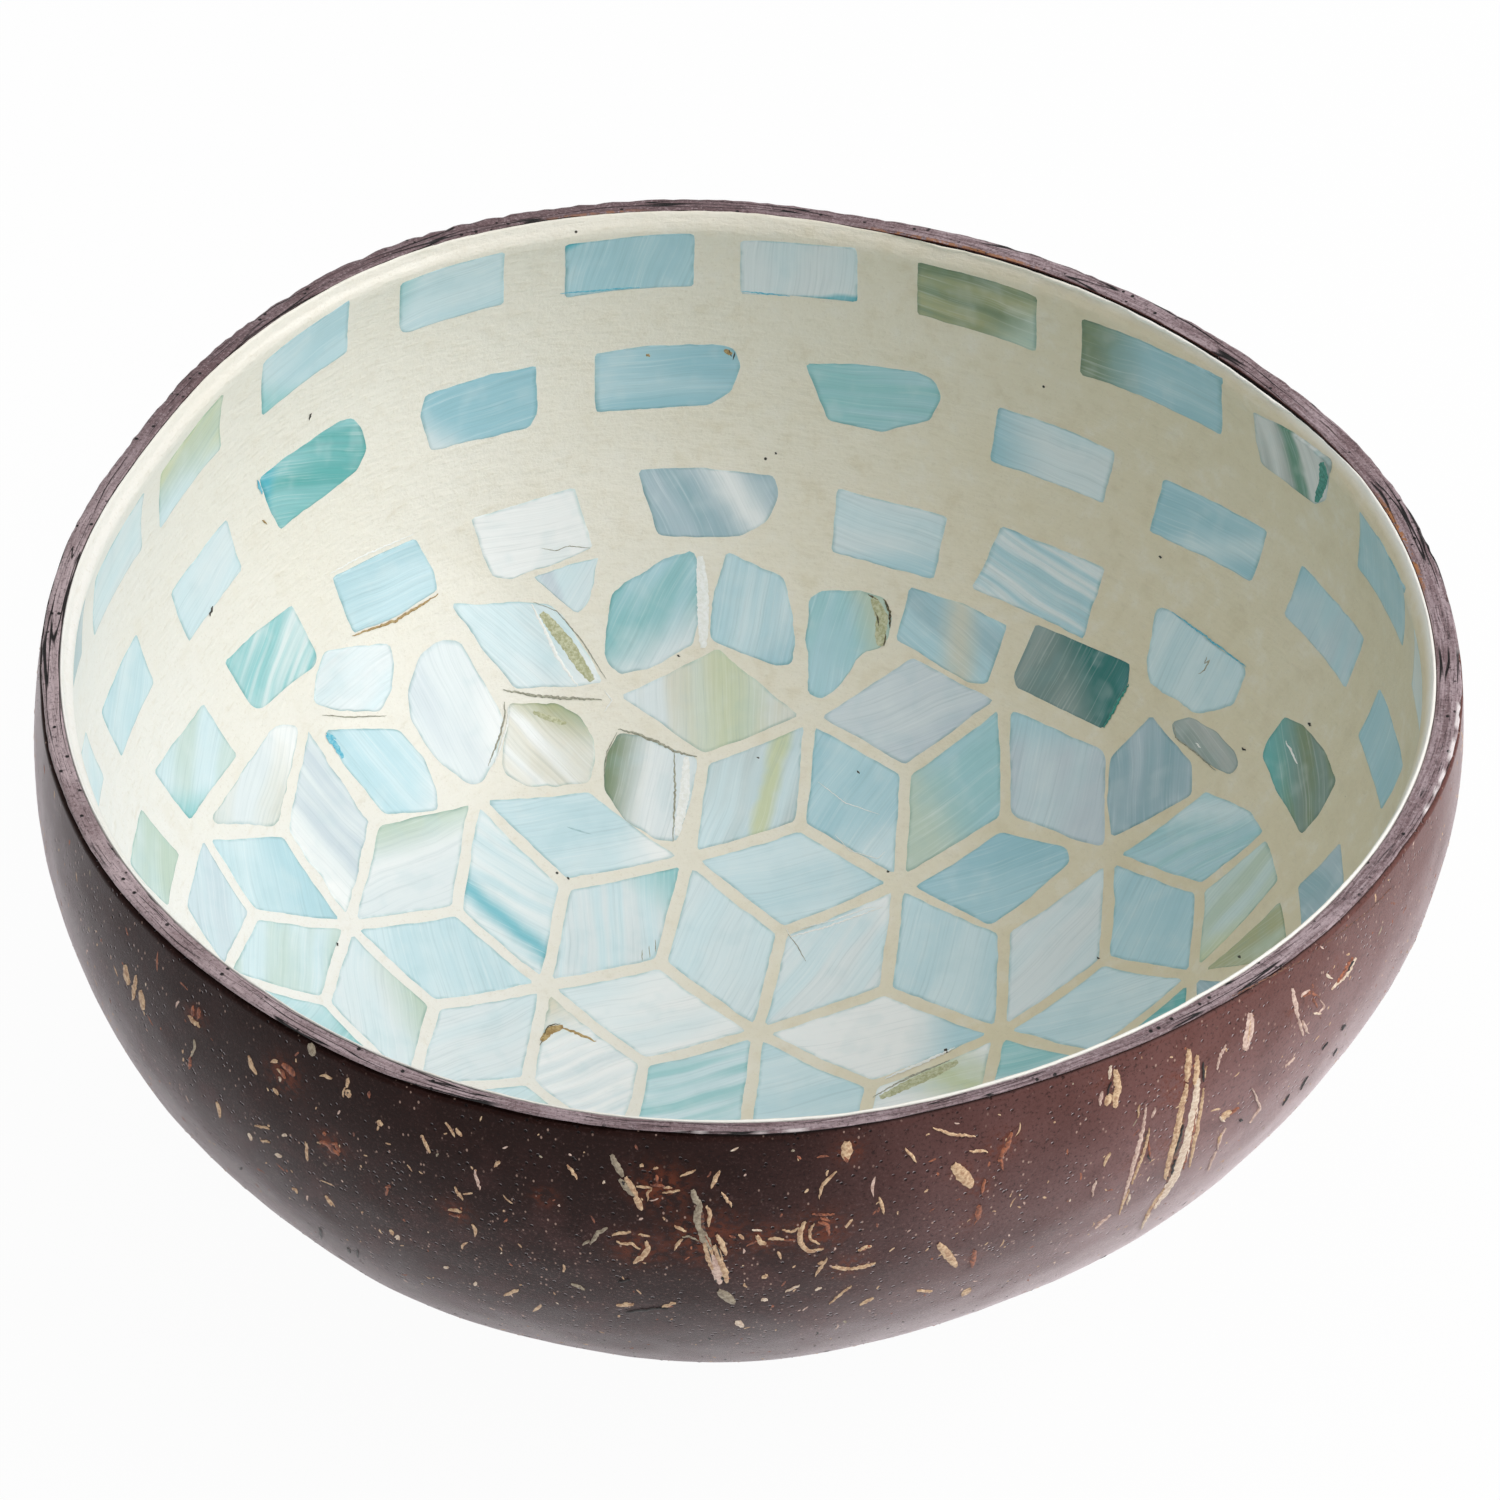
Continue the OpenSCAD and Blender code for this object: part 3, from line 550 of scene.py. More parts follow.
# Fibres that the photograph shows on the outside, by kind: the width, then the points of the line, in its pixels
FIBRES = {
    "bed": [
        (1.8, 1391, 888, 1370, 910, 1336, 937, 1301, 961, 1264, 981, 1233, 997),
        (7, 1184, 1118, 1180, 1140, 1174, 1165, 1168, 1184), (6, 1116, 1072, 1117, 1088, 1112, 1106),
        (5, 702, 1214, 702, 1226, 704, 1234), (4, 1146, 1130, 1144, 1148, 1140, 1166),
        (3, 1343, 982, 1350, 971, 1356, 959),
    ],
    "tan": [
        (3.5, 187, 1016, 195, 1026), (3, 190, 1020, 199, 1028), (4, 246, 1057, 249, 1067, 255, 1076),
        (4, 269, 1064, 276, 1062), (2.4, 275, 1070, 280, 1075), (3.4, 319, 1076, 325, 1077, 331, 1080),
        (4, 347, 1078, 347, 1088), (5.5, 346, 1090, 349, 1098), (3, 271, 1090, 277, 1096),
        (3.4, 216, 1102, 218, 1112, 220, 1118), (5, 377, 1121, 382, 1126), (2.4, 254, 1126, 269, 1130),
        (2.4, 260, 1141, 269, 1144), (2, 316, 1143, 320, 1145), (3.4, 421, 1135, 425, 1143, 430, 1153),
        (3.4, 455, 1129, 461, 1137), (3, 454, 1187, 457, 1193, 463, 1200), (3, 448, 1210, 462, 1212),
        (3.4, 388, 1232, 393, 1236), (3.4, 472, 1224, 475, 1232, 475, 1237), (2.6, 292, 1188, 297, 1194),
        (3, 324, 1197, 327, 1203, 331, 1207), (4, 494, 1167, 500, 1162), (3.4, 567, 1165, 577, 1180),
        (5.5, 625, 1178, 631, 1188, 637, 1199), (6, 634, 1198, 638, 1204, 642, 1211),
        (4, 706, 1207, 710, 1216, 708, 1228), (8, 705, 1243, 709, 1255, 713, 1270),
        (5, 716, 1236, 722, 1245, 726, 1256), (6, 714, 1246, 719, 1258, 723, 1270),
        (6, 719, 1262, 725, 1272, 727, 1283), (3, 683, 1240, 677, 1246, 674, 1251),
        (3, 674, 1227, 680, 1231, 686, 1233), (5, 806, 1222, 800, 1232, 800, 1243, 806, 1251, 815, 1253),
        (3, 815, 1224, 809, 1232, 811, 1241, 820, 1245), (2.5, 810, 1253, 824, 1250),
        (2.4, 782, 1231, 792, 1233, 799, 1229), (5, 757, 1236, 760, 1244, 766, 1246),
        (3, 768, 1240, 778, 1240, 784, 1241), (3.5, 738, 1236, 744, 1240), (3, 815, 1277, 822, 1268, 828, 1259),
        (2.5, 818, 1265, 824, 1263), (4, 832, 1268, 842, 1270, 850, 1269), (3.5, 848, 1270, 862, 1268, 876, 1264),
        (10, 847, 1142, 847, 1152, 846, 1161), (3, 837, 1172, 822, 1187, 819, 1199),
        (3.5, 879, 1197, 882, 1204, 884, 1214), (3, 612, 1236, 622, 1234, 631, 1233),
        (2.5, 616, 1242, 622, 1244, 632, 1245, 640, 1250), (5, 645, 1242, 648, 1250, 642, 1258, 633, 1263),
        (2, 638, 1235, 650, 1237), (3.5, 640, 1168, 643, 1165), (2.6, 653, 1170, 658, 1170),
        (2.5, 636, 1188, 652, 1189), (2.5, 664, 1189, 672, 1190), (2.6, 652, 1190, 647, 1195, 648, 1202),
        (2.4, 662, 1194, 680, 1192), (2.5, 680, 1178, 696, 1172), (4, 711, 1190, 720, 1172),
        (3, 721, 1194, 727, 1202, 732, 1208), (3, 616, 1306, 628, 1307), (3, 622, 1305, 634, 1305),
        (3, 662, 1307, 676, 1303), (4, 762, 1279, 768, 1276), (3, 777, 1253, 781, 1260), (3.5, 858, 1251, 872, 1247),
        (7, 1117, 1070, 1119, 1088, 1115, 1108), (6, 1112, 1095, 1106, 1106),
        (3, 1150, 1128, 1146, 1148, 1140, 1165, 1132, 1185), (2.4, 1130, 1190, 1124, 1205, 1120, 1216),
        (2, 1140, 1105, 1138, 1118), (6, 1190, 1049, 1189, 1065, 1187, 1082), (5, 1198, 1055, 1198, 1070, 1195, 1085),
        (6, 1188, 1084, 1182, 1108, 1178, 1130, 1172, 1155, 1166, 1180),
        (3.6, 1204, 1088, 1202, 1105, 1199, 1125, 1195, 1145, 1190, 1168), (3, 1166, 1190, 1156, 1205, 1146, 1222),
        (2, 1207, 1066, 1205, 1078), (3, 1251, 1020, 1248, 1042), (6, 1222, 1120, 1228, 1114, 1232, 1112),
        (3, 1104, 1166, 1110, 1152), (2.4, 1222, 1134, 1219, 1144), (12, 953, 1164, 963, 1176, 972, 1187),
        (8, 938, 1244, 948, 1256, 957, 1268), (3, 933, 1128, 950, 1135, 976, 1137), (3, 969, 1151, 988, 1152),
        (5, 962, 1297, 972, 1291), (3, 917, 1292, 933, 1293), (2, 829, 1304, 852, 1287), (3, 860, 1306, 874, 1299),
        (3, 905, 1149, 917, 1163), (5, 124, 965, 128, 985), (4, 135, 975, 133, 1000), (5, 140, 990, 143, 1010),
        (3.5, 504, 1296, 519, 1290),
    ],
    "rust": [
        (3, 192, 1006, 191, 1018), (3, 197, 1008, 197, 1020), (3, 190, 1056, 189, 1069),
        (6, 280, 1066, 288, 1070, 292, 1078), (4, 278, 1070, 284, 1080), (3, 369, 1091, 369, 1098),
        (4.5, 318, 1144, 326, 1145, 332, 1153, 338, 1157), (3.4, 326, 1147, 334, 1145, 338, 1154),
        (3, 322, 1133, 324, 1137), (3, 449, 1214, 460, 1217), (3.4, 384, 1188, 390, 1189), (3.4, 386, 1190, 385, 1197),
        (3, 656, 1176, 657, 1184), (3, 650, 1186, 664, 1188), (2, 704, 1236, 712, 1248),
        (4, 818, 1222, 828, 1226, 829, 1236), (3, 820, 1218, 830, 1221), (2.4, 812, 1215, 835, 1215),
        (2.5, 784, 1241, 796, 1241), (5, 844, 1157, 848, 1163), (2, 729, 1237, 736, 1239), (3, 860, 1251, 871, 1247),
        (2, 1149, 1140, 1150, 1158), (3.4, 1196, 1108, 1194, 1128, 1190, 1150), (3, 1188, 1150, 1184, 1170),
        (2.4, 1160, 1200, 1150, 1216), (4, 1338, 984, 1346, 972, 1354, 958), (3, 1303, 997, 1312, 992, 1320, 998),
        (2.4, 1314, 998, 1318, 1008), (3, 1230, 1116, 1240, 1108), (5, 998, 1161, 1007, 1147, 1012, 1132),
        (6, 980, 1205, 978, 1220), (5, 975, 1250, 973, 1268), (3, 797, 1157, 801, 1160), (3, 1000, 1155, 1003, 1170),
        (3, 985, 1178, 982, 1195),
    ],
    "grey": [
        (2.4, 193, 1040, 193, 1050, 190, 1058), (7, 309, 1044, 310, 1050, 311, 1057),
        (6, 611, 1155, 616, 1166, 622, 1178), (5.5, 619, 1180, 627, 1190, 634, 1197),
        (6, 692, 1191, 695, 1201, 702, 1210), (7, 700, 1206, 697, 1218, 699, 1232),
        (8, 699, 1230, 704, 1240, 711, 1250), (8, 718, 1291, 726, 1297, 735, 1303),
        (1.6, 682, 1238, 690, 1238, 699, 1242), (4, 608, 1229, 598, 1233, 590, 1244), (3, 583, 1245, 590, 1240),
        (3, 571, 1284, 585, 1290),
    ],
    "pale": [
        (9, 710, 1256, 716, 1270, 720, 1284), (3, 474, 1170, 477, 1182, 480, 1190),
        (8, 1251, 1013, 1251, 1030, 1246, 1051), (4.5, 1293, 988, 1296, 1003, 1299, 1018), (3, 1299, 1018, 1304, 1036),
        (3, 1303, 1020, 1309, 1034), (2.4, 1301, 997, 1306, 992, 1310, 990), (1.8, 1320, 1000, 1326, 1006, 1320, 1014),
        (2.6, 1227, 1045, 1221, 1056, 1217, 1070), (2, 1226, 1128, 1221, 1140, 1218, 1150),
        (2, 1217, 1152, 1209, 1172), (2.4, 1253, 1088, 1257, 1098, 1261, 1108, 1251, 1124),
        (2.6, 1096, 1180, 1092, 1196), (2.4, 1096, 1230, 1112, 1216), (2, 1286, 1068, 1296, 1058),
        (4, 1147, 1107, 1143, 1130, 1137, 1155, 1130, 1180, 1124, 1200), (2.4, 1156, 1108, 1152, 1118),
        (3.5, 1104, 1092, 1100, 1106),
    ],
    "white": [
        (2.6, 277, 1078, 279, 1083), (3.4, 247, 1134, 251, 1141), (3, 281, 1136, 286, 1137), (3, 274, 1155, 281, 1158),
        (4, 394, 1238, 399, 1241), (4, 474, 1283, 476, 1286), (3, 443, 1269, 448, 1269), (2, 752, 1231, 762, 1232),
        (3, 761, 1301, 768, 1300), (6, 735, 1322, 744, 1326), (3, 1112, 1066, 1110, 1080),
        (2.6, 1131, 1195, 1128, 1206),
        (8, 1199, 1078, 1196, 1100, 1192, 1125, 1186, 1150, 1178, 1172, 1168, 1192, 1155, 1210),
        (2, 1152, 1214, 1142, 1230), (3, 1332, 990, 1345, 978, 1353, 966), (2.4, 1348, 977, 1357, 958),
        (3, 1326, 974, 1333, 979), (2.4, 1314, 1014, 1322, 1014), (3, 1220, 1117, 1225, 1122),
        (2, 785, 1292, 800, 1286), (2, 815, 1291, 822, 1289),
    ],
    "pore": [
        (2, 347, 1092, 348, 1094), (2.4, 319, 1228, 321, 1240), (2, 356, 1250, 358, 1258), (2.4, 337, 1252, 342, 1262),
        (3, 239, 1169, 241, 1170), (2, 347, 1248, 350, 1254), (3, 622, 1182, 624, 1186), (3, 715, 1281, 717, 1281),
        (3, 721, 1279, 724, 1279), (1.6, 708, 1248, 712, 1262), (1.6, 717, 1246, 721, 1258),
        (2, 626, 1313, 640, 1311, 668, 1308), (1.4, 1112, 1082, 1108, 1096), (2, 1148, 1155, 1151, 1162),
        (2.4, 1183, 1125, 1180, 1138, 1176, 1152), (2.4, 1176, 1160, 1172, 1175), (2, 1203, 1062, 1204, 1082),
        (2.4, 1348, 972, 1354, 961), (1, 1337, 1048, 1333, 1056), (1.2, 1300, 1090, 1308, 1076),
        (1.2, 1283, 1106, 1290, 1094), (2, 1341, 1030, 1345, 1024), (3, 1240, 1122, 1243, 1120),
        (2, 618, 1282, 630, 1280), (1, 1322, 1050, 1328, 1042),
    ],
}
FIBRE_TINTS = {
    "bed": ((46, 22, 16), (132, 78, 50)), "tan": ((176, 132, 98), (232, 200, 160)),
    "rust": ((96, 44, 28), (180, 104, 66)), "grey": ((128, 112, 92), (184, 170, 146)),
    "pale": ((186, 150, 136), (234, 206, 190)), "white": ((206, 176, 150), (244, 226, 204)),
    "pore": ((12, 7, 7), (34, 20, 18)),
}
# How far the edges and the middle of a strip stand proud of the shell
USUAL_LIFT, FIBRE_LIFTS = (0.0, 0.1), {"bed": (-0.03, 0.03), "pore": (0.06, 0.13)}
# The small ones: how many, and how often each kind comes, with pores in the lower part only
FLECKS, PORE_TOP = 1900, 0.62
FLECK_KINDS = {"tan": 6, "rust": 3, "grey": 0.6, "pale": 2, "white": 0.3, "pore": 9}
# A strip's rows go on by so many pixels, and a fibre is a little wider than its line
STRIP_STEP, FIBRE_SPREAD = 2.2, 1.15
# The seeds of the random draws
FIBRE_SEED, MARK_SEED = 5, 9


def fibre_strip(line, width, rng):
    """A ragged strip along a line in the photograph's pixels: the points of its four rows, one after another."""
    length = np.concatenate([[0], np.cumsum(np.linalg.norm(np.diff(line, axis=0), axis=1))])
    count = max(5, int(length[-1] / STRIP_STEP) + 1)
    at = np.linspace(0, length[-1], count)
    mid = np.stack([np.interp(at, length, line[:, k]) for k in (0, 1)], 1)
    way = np.gradient(mid, axis=0)
    way /= np.linalg.norm(way, axis=1)[:, None]
    side = np.stack([-way[:, 1], way[:, 0]], 1)
    share = np.linspace(0, 1, count)
    half = np.sin(math.pi * np.clip(share * 0.92 + 0.04, 0, 1)) ** (0.6 if width < 5 else 0.4) * width / 2
    ragged = min(1.0, 2.5 / width)
    drift = np.array([rng.uniform(-0.25, 0.25) for _ in range(count)]) * width * ragged
    left, right = (half * [1 + rng.uniform(-0.4, 0.25) * ragged for _ in range(count)] for _ in range(2))
    mid = mid + side * drift[:, None]
    return np.concatenate([mid + side * left[:, None], mid + side * (left * 0.4)[:, None],
                           mid - side * (right * 0.4)[:, None], mid - side * right[:, None]])


def strip_faces(count, inward=False):
    """Faces of a strip of four rows."""
    n = count // 4
    quads = [(k, k + 1, k + n + 1, k + n) for r in range(3) for k in range(r * n, r * n + n - 1)]
    return [(a, d, c, b) for a, b, c, d in quads] if inward else quads


def build_fibres():
    """Pale fibres in the shell's skin: those that the photograph shows, and small ones all over."""
    rng = random.Random(FIBRE_SEED)
    parts = {kind: Part() for kind in FIBRE_TINTS}
    for kind, lines in FIBRES.items():
        low, high = FIBRE_LIFTS.get(kind, USUAL_LIFT)
        for width, *line in lines:
            strip = fibre_strip(np.reshape(line, (-1, 2)), width * FIBRE_SPREAD, rng)
            inner = right_front(seen_on(strip, *OUTSIDE)).mean()
            skin = (OUTER_R - inner, ROUND_H - inner, 0)
            places = seen_on(strip, *skin)
            if abs(round_level(places, *skin)).max() > 0.001:
                continue  # the line lies past the outline, where the photograph's rays miss the shell
            lift = inner + np.repeat([low, high, high, low], len(strip) // 4)
            parts[kind].join(dented(places, lift), strip_faces(len(strip)))
    for _ in range(FLECKS):
        az, share = rng.uniform(0, 360), rng.uniform(0.3, 0.985)
        a = BASE_TILT + (rim_angle(np.array([az]), ROUND_H)[0] - BASE_TILT) * share
        mid = on_round(np.array([az]), np.array([a]), *OUTSIDE)
        n = outward(mid, *OUTSIDE)[0]
        east = np.array([-sind(az), cosd(az), 0])
        north = np.cross(n, east)
        often = [w * (kind != "pore" or share < PORE_TOP) for kind, w in FLECK_KINDS.items()]
        kind = rng.choices(list(FLECK_KINDS), often)[0]
        long = min(1.5, 0.26 * math.exp(rng.gauss(0, 0.62)) + 0.07)
        thin = min(long, rng.uniform(0.07, 0.15) + 0.06 * long)
        lean = math.radians(rng.gauss(0, 40))
        way = north * math.cos(lean) + east * math.sin(lean)
        side = np.cross(n, way)
        bend = rng.uniform(-0.3, 0.3) * long
        ring = []
        for k in range(8):
            t = 2 * math.pi * k / 8
            u, v = long * math.cos(t) * rng.uniform(0.8, 1.2), thin * math.sin(t) * rng.uniform(0.7, 1.3)
            ring.append(mid[0] + way * u + side * (v + bend * (u / long) ** 2))
        parts[kind].join(np.vstack([dented(np.array(ring), -0.02), dented(mid, 0.045)]), fan(8, 0, 8))
    for kind, part in parts.items():
        fibres = part.make("shell_fibres_" + kind, fibre_material(kind + "_fibre", *FIBRE_TINTS[kind]))
        bm = bmesh.new()
        bm.from_mesh(fibres.data)
        bmesh.ops.recalc_face_normals(bm, faces=bm.faces)
        bm.to_mesh(fibres.data)
        bm.free()


# ---------------------------------------------------------------- lining
INSIDE_RINGS = 110


def build_lining():
    rings = hollow_rings(TOUCH_UP)
    back = inner_edge()
    # The lining has come away from the shell at the back right, where a dark crack follows the rim
    crack = near(AZ, 34, 70, 12) * (0.68 + 0.25 * lumps(back, 3.0, 61))
    ragged = 0.06 * lumps(back, 5.0, 5) + 0.05 * lumps(back, 1.2, 15)
    top = back - OUT * (0.03 + crack)[:, None]
    left = near(AZ, 120, 240, 30)
    lip = back - OUT * (LIP_T + 0.08 * lumps(back, 7, 33))[:, None]
    rings.append(top - UP * 0.12)
    for s, rise in ((0.15, 0.02), (0.45, 0.05), (0.75, 0.02)):
        rings.append(top + (lip - top) * s + UP * (rise + ragged - 0.6 * left * s * s)[:, None])
    lip_first = len(rings)
    low = arc_at(rim_angle(AZ, INNER_H)) - LIP_H
    brow, foot = lip - UP * (0.15 + 0.75 * left)[:, None], inside_at(AZ, low)
    for s in (0, 0.25, 0.5, 0.75):
        rings.append(brow + (foot - brow) * s - OUT * 0.12 * math.sin(math.pi * s))
    for s in np.linspace(1, 0, INSIDE_RINGS)[:-1]:
        ring = inside_at(AZ, low * s)
        rings.append(ring - outward(ring, *INSIDE) * (swell(ring) * min(1, (1 - s) * 20))[:, None])
    points, faces = lathe(rings, on_round(0.0, 0.0, *HOLLOW), inside_at(0.0, 0.0))
    lining = make("putty_inside", points, faces, putty_material())
    # Painted highlight: the lip is painted near white, apart from the left and the back
    pale = np.zeros((len(rings), ROUND))
    pale[lip_first - 4:lip_first + 2] = np.outer((1, 1, 1, 1, 1, 0.4), 1 - 0.85 * near(AZ, 75, 240, 25))
    store(lining.data, {"pale": np.concatenate([pale.ravel(), [0, 0]])})
    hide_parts("putty_lining")


# ---------------------------------------------------------------- chips
COLOURS = {name: srgb(*c) for name, c in {
    "white": (246, 247, 246), "pearl": (226, 234, 236), "ice": (213, 233, 238), "sky": (184, 218, 227),
    "blue": (160, 204, 216), "steel": (152, 184, 194), "slate": (124, 148, 144), "aqua": (152, 206, 208),
    "teal": (100, 180, 178), "cyan": (84, 184, 200), "deep": (46, 120, 116), "moss": (122, 140, 106),
    "olive": (176, 178, 136), "sea": (96, 146, 124), "lime": (206, 214, 176), "sage": (192, 210, 194),
    "lavender": (202, 214, 222), "grey": (180, 186, 182), "sand": (222, 216, 196),
}.items()}


# Where the third colour of a chip ends and how soft it is, where a look doesn't say
PAST_EDGE, SOFT = 3, 0.3


def look(tints, slant=20, width=4.0, contrast=0.6, side=(0, 2), ripple=0.2, corner=0.4, wave=0.5, shape=()):
    """How one chip looks, with directions as the photograph shows them, in degrees: two streaked colours and a third
    one over part of it (its direction, from and to as shares, and how soft), the streaks' slant, width and strength,
    the depth of its ripples, how round its corners are (in turn from the lower left), how uneven its edge is, and
    its outline in the photograph's pixels where it isn't the plain one."""
    side = (*side, *(PAST_EDGE, SOFT)[len(side) - 2:])
    return dict(tints=tints.split(), slant=slant, streaks=(contrast, width, ripple), side=side, corner=corner,
                wave=wave, shape=np.reshape(shape, (-1, 2)))


